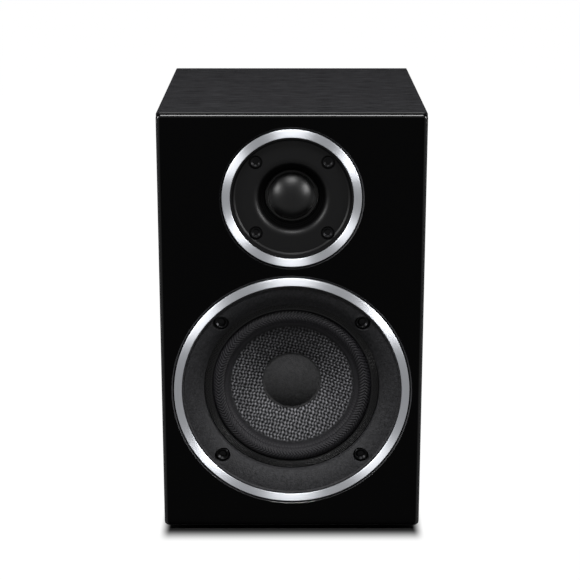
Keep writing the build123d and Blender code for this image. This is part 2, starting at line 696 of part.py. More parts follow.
def tweeter_tabs():
    """Two blade tabs in the terminal block."""
    depth = (TWEETER_FLANGE_BACK + 2, TWEETER_TAB_END)
    height = (TAB_Z - 0.4, TAB_Z + 0.4)
    places = (-TWEETER_TAB_X, TWEETER_TAB_X)
    return Compound([block((x - 1.6, x + 1.6), depth, height) for x in places])


def tweeter():
    """Every piece of the tweeter by name."""
    radius = TWEETER_MOTOR_RADIUS
    cap_screw = screw(TWEETER_SCREW_HEAD, TWEETER_SCREW_SHANK, TWEETER_SCREW_LENGTH, TWEETER_SCREW_KEY)
    plate = (TWEETER_PLATE_FRONT, TWEETER_MAGNET_FRONT)
    back = (TWEETER_PLATE_FRONT, TWEETER_MAGNET_BACK, TWEETER_MAGNET_BACK + TWEETER_PLATE)
    former = (DOME_RADIUS - 0.2, DOME_RADIUS, DOME_BASE, TWEETER_FORMER_END)
    magnet = (TWEETER_MAGNET_FRONT, TWEETER_MAGNET_BACK)
    return {
        "tweeter_trim_ring": trim_ring(TWEETER_Z, TWEETER_RING_INNER, TWEETER_RING_OUTER, TWEETER_RING_BACK),
        "tweeter_faceplate": faceplate(),
        "tweeter_gasket": tweeter_gasket(),
        "tweeter_screws": seated_screws(TWEETER_SCREW_CIRCLE, TWEETER_Z, TWEETER_SCREW_SEAT, cap_screw),
        "tweeter_dome": dome(),
        "tweeter_surround": dome_surround(),
        "tweeter_mount_ring": tweeter_mount_ring(),
        "tweeter_coil_former": washer(TWEETER_Z, *former),
        "tweeter_voice_coil": washer(TWEETER_Z, DOME_RADIUS, TWEETER_COIL_OUTER, *TWEETER_COIL),
        "tweeter_top_plate": washer(TWEETER_Z, TWEETER_GAP_OUTER, radius, *plate),
        "tweeter_magnet": washer(TWEETER_Z, TWEETER_MAGNET_BORE, radius, *magnet),
        "tweeter_back_plate": yoke(TWEETER_Z, TWEETER_POLE, TWEETER_VENT, radius, *back),
        "tweeter_terminal_tabs": tweeter_tabs(),
    }


# Rear terminals

def cup_screw_places():
    """Corner screws of the terminal cup."""
    x = CUP_FLANGE[0] / 2 - CUP_SCREW_INSET
    z = CUP_FLANGE[1] / 2 - CUP_SCREW_INSET
    return [(across * x, CUP_Z + up * z) for across in (-1, 1) for up in (-1, 1)]


def cup_hole():
    """Outline of the hole that the cup's body goes through."""
    return RectangleRounded(CUP_BODY[0] + 2 * CUP_FIT, CUP_BODY[1] + 2 * CUP_FIT, CUP_BODY_CORNER)


def terminal_cup():
    """Recessed moulding with a flange and a flat floor."""
    flange = slab(RectangleRounded(*CUP_FLANGE, CUP_FLANGE_CORNER), DEPTH + GASKET, CUP_FACE, CUP_Z)
    flange = chamfer(flange.faces().sort_by(Axis.Y)[-1].edges(), CUP_FLOOR / 3)
    body = slab(RectangleRounded(*CUP_BODY, CUP_BODY_CORNER), CUP_BACK, DEPTH + GASKET, CUP_Z)
    opening = RectangleRounded(*CUP_OPENING, CUP_OPENING_CORNER)
    cup = flange + body - slab(opening, CUP_FLOOR_FACE, CUP_FACE + 1, CUP_Z)
    for x in (-POST_X, POST_X):
        cup -= rod(x, CUP_Z, STUD_RADIUS + STUD_FIT, CUP_BACK - 1, CUP_FACE)
    for x, z in cup_screw_places():
        cup -= rod(x, z, CUP_SCREW_HOLE, DEPTH, CUP_FACE + 1)
    return cup


def cup_gasket():
    """Foam frame behind the cup's flange."""
    frame = slab(RectangleRounded(*CUP_FLANGE, CUP_FLANGE_CORNER) - cup_hole(), DEPTH, DEPTH + GASKET, CUP_Z)
    for x, z in cup_screw_places():
        frame -= rod(x, z, CUP_SCREW_HOLE, DEPTH - 1, DEPTH + GASKET + 1)
    return frame


def cup_screws():
    """Four small screws through the cup's flange."""
    shape = screw(CUP_SCREW_HEAD, CUP_SCREW_SHANK, CUP_SCREW_LENGTH, SMALL_KEY)
    return Compound([at(x, CUP_FACE, z) * Rot(-90, 0, 0) * shape for x, z in cup_screw_places()])


def post(x):
    """Metal post with a socket in its end, a cross hole for bare wire and a threaded stud inside."""
    body = rod(x, CUP_Z, STUD_RADIUS, CUP_BACK - STUD_LENGTH, COLLAR_TOP)
    body += rod(x, CUP_Z, POST_RADIUS, COLLAR_TOP, POST_END)
    body -= rod(x, CUP_Z, POST_BORE, POST_END - POST_BORE_DEPTH, POST_END + 1)
    return body - at(x, COLLAR_TOP + CROSS_HOLE_RISE, CUP_Z) * Cylinder(CROSS_HOLE, 3 * POST_RADIUS)


def knob(x):
    """Fluted grip with a plain skirt."""
    grip = rod(x, CUP_Z, KNOB_RADIUS, KNOB_FRONT, KNOB_END)
    grip = chamfer(grip.faces().sort_by(Axis.Y)[-1].edges(), 1.0)
    reach = KNOB_RADIUS + 0.5
    for i in range(KNOB_FLUTES):
        angle = 2 * pi * i / KNOB_FLUTES
        place = (x + reach * cos(angle), CUP_Z + reach * sin(angle))
        grip -= rod(*place, FLUTE_RADIUS, KNOB_FRONT + KNOB_SKIRT, KNOB_END + 1)
    return grip - rod(x, CUP_Z, POST_RADIUS + SCREW_FIT, KNOB_FRONT - 1, KNOB_END + 1)


def clamp_washer(x):
    """Loose washer that the knob pushes onto the wire."""
    bore = POST_RADIUS + SCREW_FIT
    return tube(x, CUP_Z, bore, WASHER_RADIUS, WASHER_FRONT, WASHER_FRONT + WASHER_THICKNESS)


def solder_tag(x):
    """Ring tag with a tail that points down."""
    tail = block((x - 2, x + 2), (TAG_FRONT, CUP_BACK), (CUP_Z - TAG_TAIL, CUP_Z - STUD_RADIUS - 1))
    return tube(x, CUP_Z, STUD_RADIUS + STUD_FIT, STUD_RADIUS + 2, TAG_FRONT, CUP_BACK) + tail


def post_nut(x):
    """Hexagon nut on the stud."""
    hexagon = Pos(x, 0) * RegularPolygon(NUT_FLATS / 2, 6, major_radius=False)
    nut = slab(hexagon, TAG_FRONT - NUT_THICKNESS, TAG_FRONT, CUP_Z)
    return nut - rod(x, CUP_Z, STUD_RADIUS + PLAY, TAG_FRONT - NUT_THICKNESS - 1, CUP_BACK)


def terminals():
    """Every piece of the rear terminals by name."""
    nodes = {
        "terminal_cup": terminal_cup(),
        "terminal_cup_gasket": cup_gasket(),
        "terminal_cup_screws": cup_screws(),
    }
    collar = (STUD_RADIUS + STUD_FIT, COLLAR_RADIUS, CUP_FLOOR_FACE, COLLAR_TOP)
    for colour, x in (("red", -POST_X), ("black", POST_X)):
        nodes[f"{colour}_post"] = post(x)
        nodes[f"{colour}_collar"] = tube(x, CUP_Z, *collar)
        nodes[f"{colour}_clamp_washer"] = clamp_washer(x)
        nodes[f"{colour}_knob"] = knob(x)
    nodes["post_nuts"] = Compound([post_nut(x) for x in (-POST_X, POST_X)])
    nodes["solder_tags"] = Compound([solder_tag(x) for x in (-POST_X, POST_X)])
    return nodes


# Crossover and internal wiring

def board_screw_places():
    """Corners of the crossover board as (x, depth)."""
    x = BOARD_WIDTH / 2 - BOARD_SCREW_INSET
    depths = (BOARD_FRONT + BOARD_SCREW_INSET, BOARD_FRONT + BOARD_LENGTH - BOARD_SCREW_INSET)
    return [(side * x, depth) for side in (-1, 1) for depth in depths]


def crossover_board():
    """Printed board with four screw holes."""
    half = BOARD_WIDTH / 2
    board = block((-half, half), (BOARD_FRONT, BOARD_FRONT + BOARD_LENGTH), (BOARD_Z, BOARD_TOP))
    for x, depth in board_screw_places():
        board -= at(x, depth, BOARD_Z) * Cylinder(BOARD_HOLE, 3 * BOARD_THICKNESS)
    return board


def spacers():
    """Four plastic spacers under the board."""
    sleeve = Cylinder(SPACER_RADIUS, SPACER_HEIGHT, align=LOW) - Cylinder(BOARD_HOLE, 3 * SPACER_HEIGHT)
    return Compound([at(x, depth, FLOOR_Z) * sleeve for x, depth in board_screw_places()])


def board_screws():
    """Four screws through the board and spacers into the bottom panel."""
    length = SPACER_HEIGHT + BOARD_THICKNESS + WALL * 0.65
    shape = screw(BOARD_SCREW_HEAD, BOARD_SCREW_SHANK, length, SMALL_KEY)
    return Compound([at(x, depth, BOARD_TOP) * shape for x, depth in board_screw_places()])


def inductor(place, size):
    """Coil on a flanged bobbin, of the given core radius, outer radius and height."""
    core, radius, height = size
    cheek = Cylinder(radius + 1, BOBBIN_WALL, align=LOW)
    coil = Pos(0, 0, BOBBIN_WALL) * Cylinder(radius, height - 2 * BOBBIN_WALL, align=LOW)
    body = cheek + coil + Pos(0, 0, height - BOBBIN_WALL) * cheek
    return at(place[0], BOARD_FRONT + place[1], BOARD_TOP) * (body - Cylinder(core, 4 * height))


def lying_can(place, size):
    """Capacitor of the given radius and length lying along X, with a flat where it is glued."""
    radius, length = size
    flat = 0.3
    can = Rot(0, 90, 0) * Cylinder(radius, length)
    can = chamfer(can.edges().filter_by(GeomType.CIRCLE), 2 * flat)
    cut = Pos(0, 0, flat - radius) * Box(2 * length, 4 * radius, 1, align=HIGH)
    return at(place[0], BOARD_FRONT + place[1], BOARD_TOP + radius - flat) * (can - cut)


def capacitors():
    """One large and one small can side by side."""
    large = lying_can(BASS_CAPACITOR_PLACE, BASS_CAPACITOR_SIZE)
    return Compound([large, lying_can(TREBLE_CAPACITOR_PLACE, TREBLE_CAPACITOR_SIZE)])


def resistor():
    """Cement resistor standing on its long side."""
    x, depth = RESISTOR_PLACE
    return at(x, BOARD_FRONT + depth, BOARD_TOP) * Box(*RESISTOR_SIZE, align=LOW)


def input_leads():
    """Two wires from the solder tags down to the board."""
    tail = CUP_Z - TAG_TAIL
    back = TAG_FRONT - WIRE_RADIUS
    end = BOARD_FRONT + BOARD_LENGTH - 2
    wires = []
    for x in (-POST_X, POST_X):
        points = [(x, back, tail + 6), (x, back, tail - 10), (x, end, tail - 14), (x, end, BOARD_TOP)]
        wires.append(lead(WIRE_RADIUS, points, 5.0))
    return wires


def woofer_leads():
    """Two wires from the board up the left side to the woofer's tabs."""
    tab_x = LUG_FACE - TERMINAL_BOARD - 0.4
    foot = BOARD_FRONT + 3
    wires = []
    for rise, x in ((-WOOFER_TAB_Z, -31), (WOOFER_TAB_Z, -25)):
        z = WOOFER_Z + rise
        points = [
            (tab_x, WOOFER_TAB_END, z), (tab_x, WOOFER_TAB_END + 16, z), (x - 8, foot - 10, 48 + rise),
            (x, foot, 37 + rise / 2), (x, foot, BOARD_TOP),
        ]
        wires.append(lead(WIRE_RADIUS, points, 7.0))
    return wires


def tweeter_leads():
    """Two wires from the board up the right side to the tweeter's tabs."""
    foot = BOARD_FRONT + 3
    wires = []
    for x in (-TWEETER_TAB_X, TWEETER_TAB_X):
        points = [
            (x, TWEETER_TAB_END, TAB_Z), (x, TWEETER_TAB_END + 19, TAB_Z), (x + 26, foot - 27, TAB_Z - 22),
            (x + 46, foot - 17, 100), (x + 46, foot - 13, 60), (x + 22, foot, 42), (x + 22, foot, BOARD_TOP),
        ]
        wires.append(lead(WIRE_RADIUS, points, 14.0))
    return wires


def crossover():
    """Every piece of the crossover and the internal wiring by name."""
    return {
        "crossover_board": crossover_board(),
        "crossover_spacers": spacers(),
        "crossover_screws": board_screws(),
        "bass_inductor": inductor(BASS_INDUCTOR_PLACE, BASS_INDUCTOR_SIZE),
        "treble_inductor": inductor(TREBLE_INDUCTOR_PLACE, TREBLE_INDUCTOR_SIZE),
        "crossover_capacitors": capacitors(),
        "crossover_resistor": resistor(),
        "internal_leads": Compound(input_leads() + woofer_leads() + tweeter_leads()),
    }


def speaker():
    """Every piece by its node name."""
    nodes = carcass()
    nodes["front_baffle"] = front_baffle()
    nodes["rear_panel"] = rear_panel()
    nodes["rubber_feet"] = feet()
    nodes["damping_wadding"] = wadding()
    nodes["reflex_port"] = reflex_port()
    nodes.update(woofer())
    nodes.update(tweeter())
    nodes.update(terminals())
    nodes.update(crossover())
    return nodes


os.makedirs("parts", exist_ok=True)
for node, shape in speaker().items():
    export_step(shape, f"parts/{node}.step")
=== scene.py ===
"""A compact two-way bookshelf speaker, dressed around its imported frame."""
import functools
import logging
import math
from collections.abc import Sequence
from dataclasses import dataclass, field, replace
from enum import Enum

import bmesh
import bpy
import numpy as np
from mathutils import Matrix, Vector, noise


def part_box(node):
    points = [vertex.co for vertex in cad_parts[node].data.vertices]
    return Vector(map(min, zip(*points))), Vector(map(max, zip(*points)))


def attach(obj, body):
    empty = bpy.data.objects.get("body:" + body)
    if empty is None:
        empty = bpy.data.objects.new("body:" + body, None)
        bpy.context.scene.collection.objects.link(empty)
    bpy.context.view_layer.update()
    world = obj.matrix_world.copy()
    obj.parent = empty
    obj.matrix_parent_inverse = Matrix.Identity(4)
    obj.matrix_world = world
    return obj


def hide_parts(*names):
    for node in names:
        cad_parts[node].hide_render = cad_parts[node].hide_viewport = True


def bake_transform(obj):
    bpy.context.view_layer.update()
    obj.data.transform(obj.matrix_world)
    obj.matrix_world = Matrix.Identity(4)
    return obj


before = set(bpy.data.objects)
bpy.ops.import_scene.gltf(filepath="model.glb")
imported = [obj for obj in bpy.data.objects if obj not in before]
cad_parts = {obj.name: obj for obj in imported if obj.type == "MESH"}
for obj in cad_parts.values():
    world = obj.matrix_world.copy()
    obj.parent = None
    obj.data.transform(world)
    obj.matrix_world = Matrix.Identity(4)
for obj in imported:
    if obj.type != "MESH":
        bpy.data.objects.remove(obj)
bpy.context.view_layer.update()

LOG = logging.getLogger("bookshelf_speaker")

MM = 0.001
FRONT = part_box("front_baffle")[0].y
CABINET = "cabinet"
WOOFER_DIAPHRAGM = "woofer_diaphragm"

Colour = tuple[float, float, float]
Point = tuple[float, float]
Step = Point | tuple[Point, Point]
Range = tuple[float, float]
Wave = tuple[float, float, float]
Place = tuple[float, float, float]


class Value:
    """A shader value: an output socket that Python operators extend with Math nodes."""

    def __init__(self, shader: "Shader", socket: bpy.types.NodeSocket) -> None:
        """Keep the socket and the shader that owns it."""
        self.shader = shader
        self.socket = socket

    def math(self, operation: str, *operands: "Value | float") -> "Value":
        """Result of a new Math node, by Blender's name of its operation."""
        return self.shader.node("ShaderNodeMath", {"operation": operation}, dict(enumerate(operands)))

    def __add__(self, other: "Value | float") -> "Value":
        """Sum."""
        return self.math("ADD", self, other)

    def __sub__(self, other: "Value | float") -> "Value":
        """Difference."""
        return self.math("SUBTRACT", self, other)

    def __rsub__(self, other: "Value | float") -> "Value":
        """Difference from a number."""
        return self.math("SUBTRACT", other, self)

    def __mul__(self, other: "Value | float") -> "Value":
        """Product."""
        return self.math("MULTIPLY", self, other)

    __radd__ = __add__
    __rmul__ = __mul__

    def sine(self) -> "Value":
        """Sine."""
        return self.math("SINE", self)

    def root(self) -> "Value":
        """Square root."""
        return self.math("SQRT", self)

    def size(self) -> "Value":
        """Size without sign."""
        return self.math("ABSOLUTE", self)

    def larger(self, other: "Value | float") -> "Value":
        """The larger of the two."""
        return self.math("MAXIMUM", self, other)


class Shader:
    """A node tree that ends in one surface, with a method for every node."""

    def __init__(self, owner: bpy.types.Material | bpy.types.World, surface: str, end: str) -> None:
        """Start the nodes of a material or a world.

        Args:
            owner: What the nodes belong to.
            surface: The type of the surface node.
            end: The type of the output node.
        """
        owner.use_nodes = True
        self.tree = owner.node_tree
        self.tree.nodes.clear()
        self.surface = self.tree.nodes.new(surface)
        self.node(end, {}, {"Surface": Value(self, self.surface.outputs[0])}, None)

    @classmethod
    def of_material(cls, name: str) -> "tuple[Shader, bpy.types.Material]":
        """A new material of one principled surface."""
        material = bpy.data.materials.new(name)
        return cls(material, "ShaderNodeBsdfPrincipled", "ShaderNodeOutputMaterial"), material

    def node(self, kind: str, settings: dict, sockets: dict, output: int | str | None = 0) -> Value | None:
        """Add any node.

        Args:
            kind: Blender's node type.
            settings: Properties of the node, set first.
            sockets: Numbers, colours, vectors or values by input name or index.
            output: The output to return, or None.

        Returns:
            The chosen output as a value.
        """
        made = self.tree.nodes.new(kind)
        for key, setting in settings.items():
            setattr(made, key, setting)
        for key, value in sockets.items():
            self.feed(made.inputs[key], value)
        return None if output is None else Value(self, made.outputs[output])

    def feed(self, socket: bpy.types.NodeSocket, value: object) -> None:
        """Link a value to a socket, or set the socket to a number or colour.

        Args:
            socket: The input to feed.
            value: What it gets.
        """
        if isinstance(value, Value):
            self.tree.links.new(value.socket, socket)
        elif socket.type == "RGBA" and len(value) == 3:
            socket.default_value = (*value, 1.0)
        else:
            socket.default_value = value

    def set(self, **sockets: object) -> None:
        """Feed the surface's sockets, with underscores for spaces in their names."""
        for key, value in sockets.items():
            self.feed(self.surface.inputs[key.replace("_", " ")], value)

    def place(self, scale: Sequence[float] = (1.0, 1.0, 1.0)) -> Value:
        """Place on the piece in millimetres, stretched by a scale on each axis."""
        sockets = {0: self.node("ShaderNodeTexCoord", {}, {}, "Object"), 1: tuple(s / MM for s in scale)}
        return self.node("ShaderNodeVectorMath", {"operation": "MULTIPLY"}, sockets)

    def split(self, vector: Value) -> tuple[Value, Value, Value]:
        """The three parts of a vector."""
        made = self.node("ShaderNodeSeparateXYZ", {}, {0: vector})
        return tuple(Value(self, socket) for socket in made.socket.node.outputs)

    def facing_front(self, kind: str) -> Value:
        """How squarely the surface faces the front or the back, by one of the Geometry node's normals."""
        return self.split(self.node("ShaderNodeNewGeometry", {}, {}, kind))[1].size()

    def noise(self, where: Value, size: float, detail: float = 2.0, rough: float = 0.5) -> Value:
        """Noise from 0 to 1 whose grains are about one size across."""
        sockets = {"Vector": where, "Scale": 1.0 / size, "Detail": detail, "Roughness": rough}
        return self.node("ShaderNodeTexNoise", {}, sockets)

    def sharpen(self, value: Value, low: float = 0.3, high: float = 0.7, ease: str = "LINEAR") -> Value:
        """The value from 0 at low to 1 at high, by default over the range that noise mostly keeps to."""
        sockets = {"Value": value, "From Min": low, "From Max": high}
        return self.node("ShaderNodeMapRange", {"interpolation_type": ease}, sockets)

    def between(self, factor: Value, low: Colour, high: Colour) -> Value:
        """A colour between two by a factor."""
        sockets = {0: factor, 6: (*low, 1.0), 7: (*high, 1.0)}
        return self.node("ShaderNodeMix", {"data_type": "RGBA"}, sockets, 2)

    def bump(self, height: Value, depth: float) -> Value:
        """A normal raised by a height, with its depth in millimetres."""
        return self.node("ShaderNodeBump", {}, {"Height": height, "Distance": depth * MM}, "Normal")


def tinted(colour: Colour, share: float) -> Colour:
    """A colour made lighter or darker by a share of itself."""
    return tuple(part * (1.0 + share) for part in colour)


def weighed(first: Value, second: Value, share: float = 0.6) -> Value:
    """A share of the first value and the rest of the second."""
    return first * share + second * (1.0 - share)


def uneven(roughness: float, pattern: Value, spread: float) -> Value:
    """A roughness that varies with a pattern over a spread."""
    return roughness + (pattern - 0.5) * spread


@dataclass(frozen=True)
class Finish:
    """A moulded or coated surface: a slow drift of tone over a fine grain.

    Sizes are in millimetres, drift is a share of the colour, and spread is how far the roughness varies.
    """

    name: str
    slot: str
    colour: Colour
    roughness: float = 0.5
    specular: float = 0.1
    metallic: float = 0.0
    grain: float = 0.25
    depth: float = 0.02
    drift: float = 0.18
    drift_size: float = 14.0
    spread: float = 0.12

    def paint(self, shader: Shader) -> None:
        """Give the shader its colour, roughness and relief.

        Args:
            shader: The material's shader.
        """
        where = shader.place()
        grain = shader.noise(where, self.grain, detail=3.0, rough=0.6)
        drift = shader.noise(where, self.drift_size, detail=3.0)
        shader.set(
            Base_Color=self.shades(shader, shader.sharpen(weighed(drift, grain)), self.drift, self.drift),
            Roughness=uneven(self.roughness, grain, self.spread),
            Normal=shader.bump(grain, self.depth),
        )

    def shades(self, shader: Shader, tone: Value, darker: float, lighter: float) -> Value:
        """The colour, from darker to lighter by shares of itself as a tone goes from 0 to 1."""
        return shader.between(tone, tinted(self.colour, -darker), tinted(self.colour, lighter))

    def material(self) -> bpy.types.Material:
        """Make the finish's material.

        Returns:
            The material, with the finish's constants and its painted sockets.
        """
        shader, material = Shader.of_material(self.name)
        shader.set(Metallic=self.metallic, Specular_IOR_Level=self.specular)
        self.paint(shader)
        return material


@dataclass(frozen=True)
class Lacquer(Finish):
    """Polished lacquer with a trace of orange peel, a heavier coat on the front edges, and a lighter colour
    on the lips painted as a highlight line.

    Edges and lips are told by how squarely they face the front. A range is where a change starts and ends.
    """

    peel: float = 6.0
    spread: float = 0.03
    coat: float = 0.04
    pooled: float = 0.34
    pool_begins: Range = (0.76, 0.8)
    pool_ends: Range = (0.95, 0.995)
    lip_coat: float = 0.2
    lip_facing: float = math.sqrt(0.5)
    lip_slack: Range = (0.005, 0.015)
    # Lighter colour of the lips, painted as a highlight line.
    painted_lip_highlight: Colour = (0.045, 0.045, 0.047)
    cloud: float = 0.004

    def paint(self, shader: Shader) -> None:
        """Drift the gloss, raise a very shallow peel and thicken the coat off the flats.

        Args:
            shader: The material's shader.
        """
        where = shader.place()
        haze = shader.noise(where, self.drift_size, detail=4.0)
        peel = shader.noise(where, self.peel, detail=1.0)
        facing, flat = (shader.facing_front(kind) for kind in ("Normal", "True Normal"))
        pool = shader.sharpen(facing, *self.pool_begins) * (1.0 - shader.sharpen(facing, *self.pool_ends))
        lip = 1.0 - shader.sharpen((flat - self.lip_facing).size(), *self.lip_slack)
        shader.set(
            # Painted highlight: the lips' lighter colour draws a bright line round the recesses.
            Base_Color=shader.between(lip + haze * self.cloud, self.colour, self.painted_lip_highlight),
            Roughness=self.roughness + haze * self.spread,
            Normal=shader.bump(peel, self.depth),
            Coat_Weight=self.coat + pool * (self.pooled - self.coat) + lip * self.lip_coat,
            Coat_Roughness=self.roughness,
        )


@dataclass(frozen=True)
class HornPlate(Finish):
    """Satin plate that turns matt down its throat, where its colour is darkened as painted shade.

    Mouth and throat are depths in millimetres behind the baffle's face, and matting the share of satin lost
    between them; the colour is darkened by a share there as painted shade.
    """

    mouth: float = 4.6
    throat: float = 5.7
    satin: float = 0.19
    matting: float = 0.88
    matt: float = 0.7
    # Share of colour darkened down the throat as painted shade.
    painted_throat_shade: float = 0.8

    def paint(self, shader: Shader) -> None:
        """Fade the satin out with depth and paint shade into the colour, over a fine grain.

        Args:
            shader: The material's shader.
        """
        where = shader.place()
        grain = shader.noise(where, self.grain, detail=3.0, rough=0.6)
        down = shader.sharpen(shader.split(where)[1] - FRONT / MM, self.mouth, self.throat)
        shader.set(
            # Painted shade: the colour darkens down the throat.
            Base_Color=shader.between(down, self.colour, tinted(self.colour, -self.painted_throat_shade)),
            Roughness=uneven(self.matt, grain, self.spread),
            Normal=shader.bump(grain, self.depth),
            Coat_Weight=(1.0 - down * self.matting) * self.satin,
            Coat_Roughness=self.roughness,
        )


class GrainRun(Enum):
    """Which way a panel's wood grain runs, as the stretch of its pattern on each axis."""

    ACROSS = (0.045, 1.0, 1.0)
    UPRIGHT = (1.0, 1.0, 0.045)


@dataclass(frozen=True)
class AshVinyl(Finish):
    """Printed and embossed wood-grain vinyl."""

    run: GrainRun = GrainRun.ACROSS
    pore: float = 0.55
    pore_edges: Range = (0.36, 0.62)
    figure: float = 4.5
    tones: Range = (0.2, 0.85)
    darker: float = 0.6
    lighter: float = 0.45
    spread: float = 0.1

    def paint(self, shader: Shader) -> None:
        """Long pores in a slower figure, both darker and lower than the face.

        Args:
            shader: The material's shader.
        """
        along = shader.place(self.run.value)
        pores = shader.noise(along, self.pore, detail=3.0, rough=0.65)
        pores = shader.sharpen(pores, *self.pore_edges)
        figure = shader.noise(along, self.figure, detail=4.0, rough=0.55)
        tone = shader.sharpen(weighed(pores, figure), *self.tones)
        shader.set(
            Base_Color=self.shades(shader, tone, self.darker, self.lighter),
            Roughness=self.roughness - pores * self.spread,
            Normal=shader.bump(weighed(pores, figure, share=0.75), self.depth),
        )


@dataclass(frozen=True)
class TurnedMetal(Finish):
    """Metal brushed in circles about the piece's own Z axis."""

    line: float = 0.16
    streak: float = 0.16
    spread: float = 0.16
    anisotropy: float = 1.0
    quarter_turn: float = 0.25

    def paint(self, shader: Shader) -> None:
        """Fine rings of tone, roughness and relief by radius.

        Args:
            shader: The material's shader.
        """
        x, y, z = shader.split(shader.place())
        radius = (x * x + y * y).root()
        across = shader.node("ShaderNodeCombineXYZ", {}, {0: radius, 1: z})
        lines = shader.noise(across, self.line, detail=4.0, rough=0.7)
        shader.set(
            Base_Color=self.shades(shader, lines, self.streak, self.streak),
            Roughness=uneven(self.roughness, lines, self.spread),
            Normal=shader.bump(lines, self.depth),
            Anisotropic=self.anisotropy,
            Anisotropic_Rotation=self.quarter_turn,
        )


@dataclass(frozen=True)
class Woven(Finish):
    """Coated fibre weave whose painted light and shade, lighter on the thread crowns and darker in the dips
    and holes, is stored on the mesh.
    """

    bundle: float = 1.6
    thread: Colour = (0.3, 0.3, 0.319)
    fibre_share: float = 0.5
    bundle_share: float = 0.6
    base_share: float = 0.5
    spread: float = 0.15

    def paint(self, shader: Shader) -> None:
        """Painted shade between the threads and a painted highlight on their crowns, which are also smoother.

        Args:
            shader: The material's shader.
        """
        crown = shader.node("ShaderNodeAttribute", {"attribute_name": Cone.WEAVE_LIGHT_AND_SHADE}, {}, "Fac")
        where = shader.place()
        fibre = shader.noise(where, self.grain, rough=0.7)
        bundle = shader.sharpen(shader.noise(where, self.bundle, detail=1.0))
        fibre_shade = fibre * self.fibre_share + self.base_share
        bundle_shade = bundle * self.bundle_share + self.base_share
        shader.set(
            # The stored value is painted light and shade: it lightens the crowns and darkens the dips and
            # holes.
            Base_Color=shader.between(crown * fibre_shade * bundle_shade, self.colour, self.thread),
            Roughness=self.roughness - crown * self.spread,
            Normal=shader.bump(fibre, self.depth),
        )


@dataclass(frozen=True)
class Felted(Finish):
    """Short matted fibres with a soft sheen."""

    sheen: float = 0.1
    nap: float = 0.5
    clumps: float = 4.0
    spread: float = 0.1

    def paint(self, shader: Shader) -> None:
        """Fine fibres gathered in clumps.

        Args:
            shader: The material's shader.
        """
        where = shader.place()
        fibre = shader.noise(where, self.grain, detail=4.0, rough=0.7)
        clump = shader.noise(where, self.grain * self.clumps)
        shader.set(
            Base_Color=self.shades(shader, shader.sharpen(weighed(fibre, clump)), self.drift, self.drift),
            Roughness=uneven(self.roughness, clump, self.spread),
            Normal=shader.bump(fibre + clump, self.depth),
            Sheen_Weight=self.sheen,
            Sheen_Roughness=self.nap,
        )


class WireLay(Enum):
    """The axis along which a winding's turns lie, as its place in a vector."""

    DEPTH = 1
    HEIGHT = 2


@dataclass(frozen=True)
class Wound(Finish):
    """Enamelled wire laid in close turns along one axis."""

    turn: float = 0.5
    lay: WireLay = WireLay.DEPTH
    darker: float = 0.6
    lighter: float = 0.15
    spread: float = 0.15

    def paint(self, shader: Shader) -> None:
        """Round turns with darker gaps and an uneven enamel.

        Args:
            shader: The material's shader.
        """
        where = shader.place()
        along = shader.split(where)[self.lay.value]
        turns = (along * (math.tau / self.turn)).sine() * 0.5 + 0.5
        enamel = shader.noise(where, self.drift_size, detail=3.0)
        shader.set(
            Base_Color=self.shades(shader, weighed(turns, enamel, share=0.7), self.darker, self.lighter),
            Roughness=uneven(self.roughness, enamel, self.spread),
            Normal=shader.bump(turns, self.depth),
        )


LACQUER = Lacquer(
    "gloss_black_lacquer", "gloss_black", (0.0006, 0.0006, 0.0007), roughness=0.05, specular=0.0, depth=0.002,
)
ASH_VINYL = AshVinyl(
    "black_ash_vinyl", "black_ash_vinyl", (0.018, 0.018, 0.0192), roughness=0.7, specular=0.0, depth=0.06,
)
UPRIGHT_ASH_VINYL = replace(ASH_VINYL, name="upright_black_ash_vinyl", run=GrainRun.UPRIGHT)
BRUSHED = TurnedMetal(
    "brushed_aluminium", "brushed_aluminium", (0.406, 0.417, 0.44), roughness=0.56, metallic=1.0, depth=0.004,
)
FRAME_COAT = Finish(
    "textured_frame_coating", "textured_frame", (0.0236, 0.0236, 0.0252), specular=0.04, grain=0.8, depth=0.3,
    drift=0.5, drift_size=1.6,
)
MOULDING = Finish(
    "matt_black_moulding", "black_moulding", (0.003, 0.003, 0.0032), roughness=0.36, specular=0.12,
)
FACEPLATE = HornPlate(
    "satin_black_faceplate", "black_moulding", (0.0018, 0.0018, 0.002), roughness=0.42, specular=0.0,
    depth=0.008,
)
RUBBER = Finish("black_rubber", "black_rubber", (0.0094, 0.009, 0.0106), roughness=0.56, specular=0.085)
FOAM = Felted("closed_cell_foam", "foam_gasket", (0.018, 0.018, 0.018), roughness=0.9, grain=0.5, depth=0.1)
CONE_WEAVE = Woven("coated_fibre_weave", "woven_cone", (0.002, 0.002, 0.0023), specular=0.045, grain=0.12)
FELT = Felted(
    "felt_dust_cap", "felt_cap", (0.027, 0.027, 0.028), roughness=0.8, specular=0.02, grain=0.45, depth=0.2,
    drift=0.5,
)
SILK = Felted(
    "coated_silk_dome", "soft_dome", (0.0026, 0.0026, 0.0028), roughness=0.38, specular=0.12, grain=0.2,
    depth=0.015, sheen=1.0, nap=0.3,
)
DOME_EDGE = Felted(
    "dome_edge_cloth", "soft_dome", (0.001, 0.001, 0.001), specular=0.08, grain=0.2, depth=0.015,
)
SPIDER_CLOTH = Felted("resin_cloth", "spider_cloth", (0.5, 0.34, 0.12), roughness=0.8, grain=0.4, depth=0.08)
WOOL = Felted("damping_wool", "damping_wool", (0.72, 0.71, 0.68), roughness=0.95, grain=1.2, depth=0.5)
BLACK_STEEL = Finish(
    "black_oxide_steel", "black_steel", (0.006, 0.006, 0.0063), roughness=0.34, metallic=1.0, depth=0.01,
)
ZINC = Finish("zinc_plate", "motor_steel", (0.52, 0.52, 0.5), roughness=0.38, metallic=1.0, depth=0.01)
